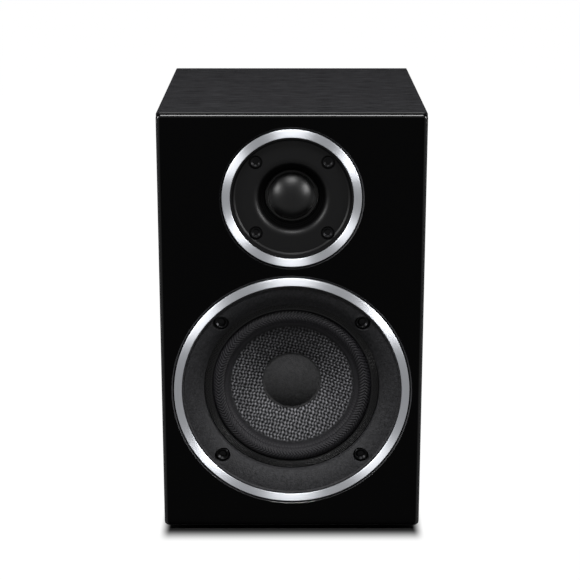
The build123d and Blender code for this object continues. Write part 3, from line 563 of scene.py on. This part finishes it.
FERRITE = Finish("ground_ferrite", "ferrite", (0.06, 0.06, 0.064), roughness=0.6, specular=0.4, grain=0.4)
FOIL = Finish("former_foil", "former_foil", (0.75, 0.75, 0.75), roughness=0.3, metallic=1.0, depth=0.005)
COIL_WIRE = Wound(
    "voice_coil_wire", "copper_winding", (0.7, 0.3, 0.12), roughness=0.35, metallic=1.0, turn=0.25,
)
CHOKE_WIRE = replace(COIL_WIRE, name="choke_wire", turn=0.9, depth=0.2, lay=WireLay.HEIGHT)
BRAID = Wound(
    "copper_braid", "copper_winding", (0.75, 0.4, 0.2), roughness=0.4, metallic=1.0, turn=0.7, depth=0.08,
)
PLATING = Finish(
    "gold_plating", "plated_brass", (0.72, 0.5, 0.2), roughness=0.24, metallic=1.0, drift=0.08, depth=0.004,
)
RED_GRIP = Finish(
    "red_grip_plastic", "red_plastic", (0.42, 0.012, 0.014), roughness=0.34, specular=0.4, depth=0.006,
)
BLACK_GRIP = Finish(
    "black_grip_plastic", "black_plastic", (0.013, 0.013, 0.014), roughness=0.34, specular=0.3, depth=0.006,
)
LAMINATE = Finish(
    "board_laminate", "board_laminate", (0.33, 0.2, 0.09), roughness=0.55, specular=0.4, grain=0.5,
)
SLEEVE = Finish("capacitor_sleeve", "component_sleeve", (0.035, 0.06, 0.18), roughness=0.3, specular=0.5)
CEMENT = Finish("resistor_cement", "component_body", (0.76, 0.74, 0.68), roughness=0.8, grain=0.6, depth=0.05)
INSULATION = Finish("wire_insulation", "wire_insulation", (0.02, 0.02, 0.02), roughness=0.4, specular=0.4)


@functools.cache
def material_of(finish: Finish) -> bpy.types.Material:
    """The one material of a finish."""
    return finish.material()


def dress(piece: bpy.types.Object, finish: Finish) -> None:
    """Give a piece or a frame node a finish.

    Args:
        piece: The object to dress.
        finish: What it wears.
    """
    piece.data.materials.clear()
    piece.data.materials.append(material_of(finish))
    LOG.info("%s wears %s", piece.name, finish.name)


def arc(start: Point, middle: Point, end: Point, steps: int) -> list[Point]:
    """Points after start on the circle through three points, ending at end.

    Args:
        start: Where the arc begins.
        middle: A point that it passes.
        end: Where it ends.
        steps: How many points to return.

    Returns:
        The points in order.
    """
    (ax, ay), (bx, by), (cx, cy) = start, middle, end
    twice = 2 * (ax * (by - cy) + bx * (cy - ay) + cx * (ay - by))
    a, b, c = ax * ax + ay * ay, bx * bx + by * by, cx * cx + cy * cy
    ox = (a * (by - cy) + b * (cy - ay) + c * (ay - by)) / twice
    oy = (a * (cx - bx) + b * (ax - cx) + c * (bx - ax)) / twice
    radius = math.hypot(ax - ox, ay - oy)
    first = math.atan2(ay - oy, ax - ox)
    passing = (math.atan2(by - oy, bx - ox) - first) % math.tau
    sweep = (math.atan2(cy - oy, cx - ox) - first) % math.tau
    if passing > sweep:
        sweep -= math.tau
    angles = [first + sweep * (i + 1) / steps for i in range(steps)]
    return [(ox + radius * math.cos(angle), oy + radius * math.sin(angle)) for angle in angles]


def outline(start: Point, *steps: Step, arc_steps: int = 10) -> np.ndarray:
    """Profile of (radius, depth) points; a step that is a pair of points is an arc.

    Args:
        start: First point.
        steps: Points, or (middle, end) pairs.
        arc_steps: Points on each arc.

    Returns:
        The points as an array.
    """
    points = [start]
    for step in steps:
        if isinstance(step[0], tuple):
            points += arc(points[-1], step[0], step[1], arc_steps)
        else:
            points.append(step)
    return np.array(points)


def shell_depth(radius: float, edge: float, rise: float, crown: float) -> float:
    """Depth of a spherical shell at a radius, from its edge radius, rise and crown depth."""
    sphere = (edge ** 2 + rise ** 2) / (2 * rise)
    return crown + sphere - math.sqrt(sphere ** 2 - radius ** 2)


def grid_mesh(name: str, points: np.ndarray, loops: bool) -> bpy.types.Mesh:
    """Mesh of a grid whose columns go round and whose rows follow a profile.

    Args:
        name: The mesh's name.
        points: Places in metres, rows by columns by three.
        loops: Whether the last row joins the first.

    Returns:
        The mesh, with poles merged and faces turned outwards.
    """
    rows, columns = points.shape[:2]
    index = np.arange(rows * columns).reshape(rows, columns)
    here = index if loops else index[:-1]
    below = np.roll(index, -1, axis=0) if loops else index[1:]
    quads = np.stack([here, below, np.roll(below, -1, axis=1), np.roll(here, -1, axis=1)], axis=-1)
    mesh = bpy.data.meshes.new(name)
    mesh.from_pydata(points.reshape(-1, 3).tolist(), [], quads.reshape(-1, 4).tolist())
    work = bmesh.new()
    work.from_mesh(mesh)
    bmesh.ops.remove_doubles(work, verts=work.verts, dist=1e-7)
    bmesh.ops.recalc_face_normals(work, faces=work.faces)
    work.to_mesh(mesh)
    work.free()
    return mesh


def add_piece(name: str, mesh: bpy.types.Mesh, crease: float = 32.0) -> bpy.types.Object:
    """Put a mesh in the scene with smooth shading.

    Args:
        name: The piece's name.
        mesh: Its shape.
        crease: Angle in degrees at which the shading breaks.

    Returns:
        The piece.
    """
    mesh.shade_smooth()
    mesh.set_sharp_from_angle(angle=math.radians(crease))
    piece = bpy.data.objects.new(name, mesh)
    bpy.context.scene.collection.objects.link(piece)
    return piece


@dataclass
class Lathe:
    """A profile turned about a drive unit's axis, which lies along Y at a height in metres."""

    height: float
    segments: int = 256

    def angles(self) -> np.ndarray:
        """The angle of each column, from +X towards +Z."""
        return np.arange(self.segments) * math.tau / self.segments

    def grid(self, profile: np.ndarray) -> tuple[np.ndarray, np.ndarray]:
        """The radii and the depths of a profile's points, each rows by columns."""
        ones = np.ones((1, self.segments))
        return profile[:, :1] * ones, profile[:, 1:] * ones

    def places(self, radius: np.ndarray, depth: np.ndarray) -> np.ndarray:
        """Places in metres of radii and depths in millimetres, each rows by columns."""
        x, z = radius * np.cos(self.angles()), radius * np.sin(self.angles())
        return np.stack([x * MM, FRONT + depth * MM, self.height + z * MM], axis=-1)

    def turn(self, name: str, profile: np.ndarray, loops: bool = True) -> bpy.types.Object:
        """A plain turned piece in its place."""
        return add_piece(name, grid_mesh(name, self.places(*self.grid(profile)), loops))

    def turn_on_axis(self, name: str, profile: np.ndarray) -> bpy.types.Object:
        """Turn a piece whose own Z axis is the drive unit's axis.

        Args:
            name: The piece's name.
            profile: Its radii and depths in millimetres, as a closed outline.

        Returns:
            The piece in its place.
        """
        radius, depth = self.grid(profile)
        angles = self.angles()
        local = np.stack([radius * np.cos(angles), radius * np.sin(angles), -depth], axis=-1) * MM
        piece = add_piece(name, grid_mesh(name, local, True))
        upright = Matrix.Rotation(math.pi / 2, 4, "X")
        piece.matrix_world = Matrix.Translation((0, FRONT, self.height)) @ upright
        return piece


def follow_radius(piece: bpy.types.Object, height: float, rim: float, hub: float) -> None:
    """Bake a suspension in place and work out each point's share from its rim to its hub; the share is not
    used, so nothing bends.

    Args:
        piece: A turned piece in its place.
        height: Height of the axis in metres.
        rim: Radius in millimetres that stays with the cabinet.
        hub: Radius in millimetres at the diaphragm's side, where the share reaches one.
    """
    rim * MM
    hub * MM
    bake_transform(piece)
    places = np.empty(len(piece.data.vertices) * 3)
    piece.data.vertices.foreach_get("co", places)
    places = places.reshape(-1, 3)
    radius = np.hypot(places[:, 0], places[:, 2] - height) / MM
    share = np.clip((rim - radius) / (rim - hub), 0, 1)


def half_width(node: str) -> float:
    """Half the width of a frame node in millimetres."""
    low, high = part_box(node)
    return (high.x - low.x) / 2 / MM


def front_depth(node: str) -> float:
    """Depth of a frame node's front behind the baffle's face, in millimetres."""
    return (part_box(node)[0].y - FRONT) / MM


def back_depth(node: str) -> float:
    """Depth of a frame node's back behind the baffle's face, in millimetres."""
    return (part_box(node)[1].y - FRONT) / MM


class Assembly:
    """A group of frame nodes with one finish each."""

    finishes: dict[str, Finish]

    def build(self) -> None:
        """Give each frame node of the group its finish."""
        for node, finish in self.finishes.items():
            dress(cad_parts[node], finish)


@dataclass
class DriveUnit(Assembly):
    """A round unit set in the baffle, with a brushed trim ring. Sizes are in millimetres."""

    ring: str
    ring_band: float
    ring_segments: int
    ring_edge: float = 0.35

    def __post_init__(self) -> None:
        """Find the unit's axis."""
        low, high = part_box(self.ring)
        self.height = (low.z + high.z) / 2
        self.lathe = Lathe(self.height)

    def build(self) -> None:
        """Dress the frame nodes, and replace the trim ring by one that is brushed about its own axis."""
        super().build()
        outer, front, back = half_width(self.ring), front_depth(self.ring), back_depth(self.ring)
        inner, edge = outer - self.ring_band, self.ring_edge
        bevel = edge * (1 - math.sqrt(0.5))
        profile = outline(
            (inner, back), (inner, front + edge), ((inner + bevel, front + bevel), (inner + edge, front)),
            (outer - edge, front), ((outer - bevel, front + bevel), (outer, front + edge)), (outer, back),
            arc_steps=4,
        )
        ring = Lathe(self.height, self.ring_segments).turn_on_axis(f"{self.ring}_brushed", profile)
        dress(ring, BRUSHED)
        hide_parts(self.ring)
        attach(ring, CABINET)


@dataclass
class Cone:
    """The woofer's woven cone, with each thread modelled. Sizes are in millimetres."""

    # Name of the stored painted light and shade of the threads.
    WEAVE_LIGHT_AND_SHADE = "painted_weave_light_and_shade"

    lathe: Lathe
    rim_lean: float = 0.235
    bend: float = 95.0
    thickness: float = 0.7
    neck: float = 12.85
    cap: float = 16.2
    cap_fade: float = 0.5
    weave_edge: float = 34.0
    plain: float = 0.08
    pitch: float = 1.9
    relief: float = 0.3
    hole_length: float = 0.8
    hole_width: float = 0.36
    hole_edge: float = 2.5
    # Share of painted shade in the dips where threads dive under.
    painted_dip_shade: float = 0.75
    fade: float = 0.9
    turn: float = math.radians(-15.5)
    stray: float = 0.16
    stray_across: Wave = (0.9, 1.7, 0.31)
    stray_up: Wave = (0.8, 1.3, 0.37)
    rows: int = 94

    def face(self, radius: np.ndarray) -> np.ndarray:
        """Depth of the cone's front face at a radius, on a circle that leans least at the rim."""
        return self.drop(radius) - self.drop(half_width("woofer_cone")) + front_depth("woofer_cone")

    def drop(self, radius: np.ndarray) -> np.ndarray:
        """How far the face falls behind the surround's inner edge at a radius."""
        lean = self.rim_lean + (RibbedSurround.roll_inner - radius) / self.bend
        return self.bend * (math.sqrt(1 - self.rim_lean ** 2) - np.sqrt(1 - lean ** 2))

    @staticmethod
    def wander(along: np.ndarray, across: np.ndarray, wave: Wave) -> np.ndarray:
        """A wave of one pace whose crests bend by an amount at a second pace."""
        pace, bend, bend_pace = wave
        return np.sin(along * pace + bend * np.sin(across * bend_pace))

    def weave(self, x: np.ndarray, z: np.ndarray) -> tuple[np.ndarray, np.ndarray]:
        """A plain weave, with warp and weft crossing over and under round slanted holes.

        Args:
            x: Places across, in millimetres.
            z: Places upwards, in millimetres.

        Returns:
            The weave's height, and its painted light and shade, lighter on the crowns and darker in the dips
            and holes, both from 0 to 1.
        """
        sway = self.stray * self.wander(x, z, self.stray_across) * self.wander(z, x, self.stray_up)
        u = (x * math.cos(self.turn) + z * math.sin(self.turn)) / self.pitch + sway
        v = (z * math.cos(self.turn) - x * math.sin(self.turn)) / self.pitch - sway
        du, dv = u - np.round(u), v - np.round(v)
        lean = np.where(np.round(v) % 2 == 0, 1.0, -1.0)
        along, across = (du + lean * dv) / self.hole_length, (du - lean * dv) / self.hole_width
        solid = (1 - np.exp(-along ** 2 - across ** 2)) ** self.hole_edge
        wave_u, wave_v = np.sin(math.pi * u), np.sin(math.pi * v)
        warp, weft = np.abs(wave_u), np.abs(wave_v)
        crown = np.where(wave_u * wave_v > 0, warp * np.sqrt(weft), weft * np.sqrt(warp))
        # Painted light and shade: lighter crowns, darker dips and dark holes.
        return crown * solid, (1 - self.painted_dip_shade * (1 - crown)) * solid

    def build(self) -> None:
        """Make the cone and hand it to the diaphragm."""
        outer = half_width("woofer_cone")
        radius = np.linspace(outer, self.neck, self.rows)[:, None] * np.ones((1, self.lathe.segments))
        angles = self.lathe.angles()
        height, thread_light_and_shade = self.weave(radius * np.cos(angles), radius * np.sin(angles))
        inside = np.clip((self.weave_edge - radius) / self.fade, 0, 1)
        shown = inside * np.clip((radius - self.cap) / self.cap_fade, 0, 1)
        front = self.face(radius) - (height - 0.5) * self.relief * shown
        back = self.face(radius[::-1]) + self.thickness
        places = np.concatenate([
            self.lathe.places(radius, front), self.lathe.places(radius[::-1], back)[[0, -1]],
        ])
        cone = add_piece("woven_cone", grid_mesh("woven_cone", places, True), crease=80.0)
        # The painted light and shade is stored on the mesh for the cone's colour.
        thread_light_and_shade = thread_light_and_shade * shown + (1 - shown) * self.plain
        stored = np.concatenate([thread_light_and_shade.ravel(), np.zeros(2 * self.lathe.segments)])
        attribute = cone.data.attributes.new(self.WEAVE_LIGHT_AND_SHADE, "FLOAT", "POINT")
        attribute.data.foreach_set("value", stored.astype(np.float32))
        dress(cone, CONE_WEAVE)
        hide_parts("woofer_cone")
        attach(cone, WOOFER_DIAPHRAGM)


@dataclass
class RibbedSurround:
    """The woofer's half-roll edge with fine chevron ribs. Sizes are in millimetres."""

    lathe: Lathe
    roll_outer: float = 44.0
    roll_inner: float = 37.0
    rise: float = 2.7
    rubber: float = 0.5
    hem: float = 2.2
    ribs: int = 144
    rib_height: float = 0.22
    rib_lean: float = 1.6
    rib_ends: float = 6.0
    steps: int = 36

    def build(self) -> None:
        """Make the surround between the cabinet and the cone."""
        outer = half_width("woofer_surround")
        front = front_depth("woofer_surround") + self.rise
        middle = (self.roll_outer + self.roll_inner) / 2
        inside = self.roll_inner - self.hem
        drop = float(Cone(self.lathe).drop(inside))
        face = outline(
            (outer, front), (self.roll_outer, front), ((middle, front - self.rise), (self.roll_inner, front)),
            (inside, front + drop), arc_steps=self.steps,
        )
        back = outline(
            (inside, front + drop + self.rubber), (self.roll_inner, front + self.rubber),
            ((middle, front - self.rise + self.rubber), (self.roll_outer, front + self.rubber)),
            (outer, front + self.rubber), arc_steps=self.steps,
        )
        radius, depth = self.lathe.grid(np.concatenate([face, back]))
        rows = slice(2, self.steps + 1)
        share = (self.roll_outer - radius[rows]) / (self.roll_outer - self.roll_inner)
        fold = np.abs(2 * share - 1)
        phase = self.ribs * self.lathe.angles() + self.rib_lean * math.tau * fold
        ridge = np.cos(phase) * np.clip((1 - fold) * self.rib_ends, 0, 1)
        depth[rows] -= ridge * self.rib_height
        mesh = grid_mesh("ribbed_surround", self.lathe.places(radius, depth), True)
        surround = add_piece("ribbed_surround", mesh, crease=60.0)
        dress(surround, RUBBER)
        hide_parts("woofer_surround")
        follow_radius(surround, self.lathe.height, self.roll_outer, self.roll_inner)


@dataclass
class Woofer(DriveUnit):
    """The bass unit. Sizes are in millimetres."""

    ring: str = "woofer_trim_ring"
    ring_band: float = 4.1
    ring_segments: int = 384
    cap_rise: float = 4.6
    cap_shell: float = 0.6
    cap_rim: float = 0.9
    cap_lip: float = 0.22
    cap_ease: float = 0.15
    cap_foot: float = 0.1
    spider_hub: float = 13.0
    spider_collar: float = 2.0
    spider_hem: float = 4.5
    spider_rows: int = 73
    spider_waves: int = 6
    spider_swing: float = 0.9
    spider_cloth: float = 0.5
    lead_radius: float = 0.6
    lead_rise: float = 5.0
    lead_stiff: float = 4.0
    finishes: dict[str, Finish] = field(default_factory=lambda: {
        "woofer_frame": FRAME_COAT, "woofer_clamp_ring": MOULDING, "woofer_screws": BLACK_STEEL,
        "woofer_gasket": FOAM, "woofer_coil_former": FOIL, "woofer_voice_coil": COIL_WIRE,
        "woofer_top_plate": ZINC, "woofer_magnet": FERRITE, "woofer_back_plate": ZINC,
        "woofer_terminal_board": LAMINATE, "woofer_terminal_tabs": PLATING,
    })

    def build(self) -> None:
        """Make and dress every piece."""
        super().build()
        Cone(Lathe(self.height, segments=1024)).build()
        RibbedSurround(Lathe(self.height, segments=1152)).build()
        self.dust_cap()
        self.spider()
        self.tinsel_leads()

    def dust_cap(self) -> None:
        """Domed felt cap with a thin glued rim."""
        cone = Cone(self.lathe)
        radius, crown = half_width("woofer_dust_cap"), front_depth("woofer_dust_cap")
        base = crown + self.cap_rise
        rim, toe, inside = radius + self.cap_rim, radius + self.cap_ease, radius - self.cap_shell
        passing = (radius / 2, shell_depth(radius / 2, radius, self.cap_rise, crown))
        foot = (radius - self.cap_ease, base - self.cap_lip - self.cap_foot)
        toe_depth, rim_depth, inner_depth = (float(cone.face(place)) for place in (toe, rim, inside))
        profile = outline(
            (0.0, crown), (passing, foot), (toe, toe_depth - self.cap_lip), (rim, rim_depth - self.cap_lip),
            (rim, rim_depth), (inside, inner_depth),
            ((radius / 2, passing[1] + self.cap_shell), (0.0, crown + self.cap_shell)), arc_steps=26,
        )
        cap = self.lathe.turn("felt_dust_cap", profile, loops=False)
        dress(cap, FELT)
        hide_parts("woofer_dust_cap")
        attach(cap, WOOFER_DIAPHRAGM)

    def spider(self) -> None:
        """Corrugated centring disc around the former."""
        rim = half_width("woofer_spider")
        face = front_depth("woofer_spider") + self.spider_swing
        first, last = self.spider_hub + self.spider_collar, rim - self.spider_hem
        radius = np.concatenate([[self.spider_hub], np.linspace(first, last, self.spider_rows), [rim]])
        share = np.clip((radius - first) / (last - first), 0, 1)
        wave = -self.spider_swing * np.sin(share * math.pi * self.spider_waves)
        front = np.stack([radius, face + wave], axis=1)
        back = np.stack([radius, face + wave + self.spider_cloth], axis=1)[::-1]
        disc = self.lathe.turn("corrugated_spider", np.concatenate([front, back]))
        dress(disc, SPIDER_CLOTH)
        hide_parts("woofer_spider")
        follow_radius(disc, self.height, last, first)

    def tinsel_leads(self) -> None:
        """Two limp braided leads from the terminal board to the back of the cone."""
        low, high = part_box("woofer_tinsel_leads")
        outside, inside = low.x / MM + self.lead_radius, high.x / MM - self.lead_radius
        route = [(outside, 31.5), (outside, 27.0), (outside + 0.8, 23.6), (outside + 6.0, 23.2),
                 (-34.0, 24.2), (-26.0, 24.6), (inside - 1.0, 22.2), (inside, 18.85)]
        for name, rise in (("lower", -self.lead_rise), ("upper", self.lead_rise)):
            curve = bpy.data.curves.new(f"{name}_tinsel_lead", "CURVE")
            curve.dimensions = "3D"
            curve.bevel_depth = self.lead_radius * MM
            curve.bevel_resolution = 4
            curve.use_fill_caps = True
            spline = curve.splines.new("NURBS")
            spline.points.add(len(route) - 1)
            for point, (x, depth) in zip(spline.points, route):
                point.co = (x * MM, FRONT + depth * MM, self.height + rise * MM, 1.0)
            spline.order_u = 3
            spline.use_endpoint_u = True
            drawn = bpy.data.objects.new(curve.name, curve)
            mesh = bpy.data.meshes.new_from_object(drawn)
            bpy.data.objects.remove(drawn)
            lead = add_piece(f"{name}_tinsel_lead", mesh)
            dress(lead, BRAID)
            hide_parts("woofer_tinsel_leads")
            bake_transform(lead)


@dataclass
class Tweeter(DriveUnit):
    """The treble unit. Sizes are in millimetres."""

    ring: str = "tweeter_trim_ring"
    ring_band: float = 4.2
    ring_segments: int = 320
    roll_hub: float = 12.65
    roll: float = 1.6
    skin: float = 0.3
    glue: float = 0.25
    glue_lift: float = 0.06
    hub_lift: float = 0.1
    finishes: dict[str, Finish] = field(default_factory=lambda: {
        "tweeter_faceplate": FACEPLATE, "tweeter_screws": BLACK_STEEL, "tweeter_gasket": FOAM,
        "tweeter_dome": SILK, "tweeter_mount_ring": MOULDING, "tweeter_coil_former": FOIL,
        "tweeter_voice_coil": COIL_WIRE, "tweeter_top_plate": ZINC, "tweeter_magnet": FERRITE,
        "tweeter_back_plate": ZINC, "tweeter_terminal_tabs": PLATING,
    })

    def build(self) -> None:
        """Make and dress every piece."""
        super().build()
        self.surround()

    def surround(self) -> None:
        """Small half-roll between the faceplate and the dome."""
        hem = half_width("tweeter_surround")
        back = back_depth("tweeter_surround")
        base = back - self.skin
        hub, rim = self.roll_hub, self.roll_hub + self.roll
        middle, crest = (hub + rim) / 2, base - self.roll / 2
        crown, edge = front_depth("tweeter_dome"), half_width("tweeter_dome")
        inside = edge - self.glue
        glued = shell_depth(inside, edge, base - crown, crown)
        profile = outline(
            (hem, base), (rim, base), ((middle, crest), (hub, base - self.hub_lift)),
            (inside, glued - self.glue_lift), (inside, glued), (hub, back),
            ((middle, crest + self.skin), (rim, back)), (hem, back), arc_steps=14,
        )
        surround = self.lathe.turn("dome_surround", profile)
        dress(surround, DOME_EDGE)
        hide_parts("tweeter_surround")
        follow_radius(surround, self.height, rim, hub)


@dataclass
class Cabinet(Assembly):
    """Panels, baffle, feet, port and wadding. Sizes are in millimetres.

    The detail of the wadding's lumps is their fall-off, step in size and octaves.
    """

    wool_gap: float = 1.5
    wool_cells: int = 22
    wool_crown: float = 0.28
    wool_lumps: float = 3.0
    lumps_a_side: float = 3.0
    lump_detail: tuple[float, float, int] = (1.0, 2.0, 3)
    finishes: dict[str, Finish] = field(default_factory=lambda: {
        "front_baffle": LACQUER, "top_panel": ASH_VINYL, "bottom_panel": ASH_VINYL,
        "left_panel": UPRIGHT_ASH_VINYL, "right_panel": UPRIGHT_ASH_VINYL, "rear_panel": UPRIGHT_ASH_VINYL,
        "rubber_feet": RUBBER, "reflex_port": MOULDING,
    })

    def build(self) -> None:
        """Make and dress every piece."""
        super().build()
        self.wadding()

    def crown(self, unit: Vector, axis: int) -> float:
        """Reach of the wadding along an axis at a place on its unit cube, as a share of half its size."""
        across = unit[axis - 1] ** 4 + unit[axis - 2] ** 4
        return math.sqrt(max(0.0, 1 - self.wool_crown * across))

    def wadding(self) -> None:
        """Crowned, lumpy block of wool in the wadding's place."""
        low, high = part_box("damping_wadding")
        middle, half = (low + high) / 2, (high - low) / 2 - Vector((1, 1, 1)) * self.wool_gap * MM
        work = bmesh.new()
        bmesh.ops.create_cube(work, size=2.0)
        bmesh.ops.subdivide_edges(work, edges=work.edges, cuts=self.wool_cells, use_grid_fill=True)
        for vertex in work.verts:
            unit = vertex.co.copy()
            swell = noise.fractal(unit * self.lumps_a_side, *self.lump_detail)
            lump = self.wool_lumps * MM * (swell * 0.5 - 0.5)
            reach = (half[axis] * self.crown(unit, axis) + lump for axis in range(3))
            vertex.co = middle + Vector(part * far for part, far in zip(unit, reach))
        mesh = bpy.data.meshes.new("wool_wadding")
        work.to_mesh(mesh)
        work.free()
        wool = add_piece("wool_wadding", mesh, crease=180.0)
        dress(wool, WOOL)
        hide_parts("damping_wadding")
        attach(wool, CABINET)


@dataclass
class RearTerminals(Assembly):
    """Terminal cup and the two binding posts."""

    finishes: dict[str, Finish] = field(default_factory=lambda: {
        "terminal_cup": MOULDING, "terminal_cup_gasket": FOAM, "terminal_cup_screws": BLACK_STEEL,
        "red_post": PLATING, "red_clamp_washer": PLATING, "red_collar": RED_GRIP, "red_knob": RED_GRIP,
        "black_post": PLATING, "black_clamp_washer": PLATING, "black_collar": BLACK_GRIP,
        "black_knob": BLACK_GRIP, "post_nuts": PLATING, "solder_tags": PLATING,
    })


@dataclass
class Crossover(Assembly):
    """Board, its parts and the internal wiring."""

    finishes: dict[str, Finish] = field(default_factory=lambda: {
        "crossover_board": LAMINATE, "crossover_spacers": MOULDING, "crossover_screws": BLACK_STEEL,
        "bass_inductor": CHOKE_WIRE, "treble_inductor": CHOKE_WIRE, "crossover_capacitors": SLEEVE,
        "crossover_resistor": CEMENT, "internal_leads": INSULATION,
    })


class Softbox(Enum):
    """The studio's lamps: place, width, height, power, and whether they only draw highlights."""

    TOP = ((0.0, -0.66, 1.35), 0.7, 0.3, 34.0, False)
    LEFT_SIDE = ((-1.25, 0.35, 0.25), 0.5, 0.6, 11.0, False)
    RIGHT_SIDE = ((1.25, 0.35, 0.25), 0.5, 0.6, 11.0, False)
    REAR = ((0.0, 1.35, 0.4), 0.8, 0.5, 15.0, False)
    LEFT_LINE = ((-1.14, -0.62, 0.6), 0.25, 0.6, 32.0, True)
    RIGHT_LINE = ((1.14, -0.62, 0.6), 0.25, 0.6, 40.0, True)


@dataclass
class Studio:
    """White floor, soft lamps and the camera. Sizes are in metres."""

    aim: Place = (0.0, 0.0, 0.13)
    floor_size: float = 14.0
    floor_seen: Colour = (0.012, 0.012, 0.012)
    floor_bounce: Colour = (0.12, 0.12, 0.12)
    floor_roughness: float = 0.9
    # Reach of the painted contact shadow in front and at the sides.
    shadow_front: Range = (0.0, 0.017)
    shadow_sides: Range = (-0.0034, 0.0032)
    fill: float = 0.04
    camera_place: Place = (-0.00096, -0.92935, 0.3816)
    camera_pitch: float = 16.0
    lens: float = 100.87

    def build(self) -> None:
        """Set up everything around the object."""
        bpy.context.scene.view_settings.view_transform = "Standard"
        self.floor()
        self.surroundings()
        for lamp in Softbox:
            self.lamp(lamp)
        self.camera()

    @staticmethod
    def seen(shader: Shader) -> Value:
        """Tell the rays that show the background as white.

        Args:
            shader: The floor's or the surroundings' shader.

        Returns:
            One for rays from the camera, from gloss and through glass, else nought.
        """
        camera = shader.node("ShaderNodeLightPath", {}, {}, "Is Camera Ray")
        rays = camera.socket.node.outputs
        glossy, through = Value(shader, rays["Is Glossy Ray"]), Value(shader, rays["Is Transmission Ray"])
        return camera.larger(glossy).larger(through)

    @staticmethod
    def clearing(shader: Shader, place: Value, low: float, high: float, fade: Range) -> Value:
        """Nought under an object from low to high on one axis, and one past where its painted shadow fades.
        """
        outside = (place - (low + high) / 2).size() - (high - low) / 2
        return shader.sharpen(outside, *fade, ease="SMOOTHSTEP")

    def floor(self) -> None:
        """Pale floor with a soft shadow painted round the object's footprint by dimming its glow."""
        half = self.floor_size / 2
        mesh = bpy.data.meshes.new("studio_floor")
        corners = [(x, y, 0.0) for x, y in ((-half, -half), (half, -half), (half, half), (-half, half))]
        mesh.from_pydata(corners, [], [(0, 1, 2, 3)])
        floor = add_piece("studio_floor", mesh)
        shader, white = Shader.of_material("studio_white")
        seen = self.seen(shader)
        x, y, _ = shader.split(shader.place((MM, MM, MM)))
        low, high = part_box("front_baffle")[0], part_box("right_panel")[1]
        # Painted shadow: the glow fades out under and close round the object, leaving the dark floor colour.
        shade_x = 1.0 - self.clearing(shader, x, low.x, high.x, self.shadow_sides)
        shade_y = 1.0 - self.clearing(shader, y, low.y, high.y, self.shadow_front)
        glow = seen * (1.0 - shade_x * shade_y)
        shader.set(
            Base_Color=shader.between(seen, self.floor_bounce, self.floor_seen),
            Roughness=self.floor_roughness, Specular_IOR_Level=0.0,
            Emission_Color=shader.between(glow, (0.0, 0.0, 0.0), (1.0, 1.0, 1.0)), Emission_Strength=1.0,
        )
        mesh.materials.append(white)

    def surroundings(self) -> None:
        """White surroundings that give the object only a soft fill."""
        world = bpy.data.worlds.new("studio_surroundings")
        bpy.context.scene.world = world
        shader = Shader(world, "ShaderNodeBackground", "ShaderNodeOutputWorld")
        shader.set(Color=(1.0, 1.0, 1.0), Strength=self.seen(shader) * (1.0 - self.fill) + self.fill)

    def lamp(self, box: Softbox) -> None:
        """Hang one soft lamp and turn it to the object.

        Args:
            box: The lamp.
        """
        place, width, height, power, highlights = box.value
        light = bpy.data.lights.new(f"softbox_{box.name.lower()}", "AREA")
        light.shape = "RECTANGLE"
        light.size = width
        light.size_y = height
        light.energy = power
        lamp = bpy.data.objects.new(light.name, light)
        lamp.location = place
        lamp.visible_diffuse = not highlights
        lamp.rotation_euler = (Vector(self.aim) - lamp.location).to_track_quat("-Z", "Y").to_euler()
        bpy.context.scene.collection.objects.link(lamp)

    def camera(self) -> None:
        """Camera a little above the object, looking slightly down."""
        lens = bpy.data.cameras.new("camera")
        lens.lens = self.lens
        camera = bpy.data.objects.new("camera", lens)
        camera.location = self.camera_place
        camera.rotation_euler = (math.radians(90.0 - self.camera_pitch), 0.0, 0.0)
        bpy.context.scene.collection.objects.link(camera)
        bpy.context.scene.camera = camera


def main() -> None:
    """Build the sub-assemblies and the studio in order."""
    logging.basicConfig(level=logging.INFO, format="%(name)s: %(message)s")
    for part in (Cabinet(), Woofer(), Tweeter(), RearTerminals(), Crossover(), Studio()):
        part.build()
        LOG.info("%s built", type(part).__name__)


if __name__ == "__main__":
    main()
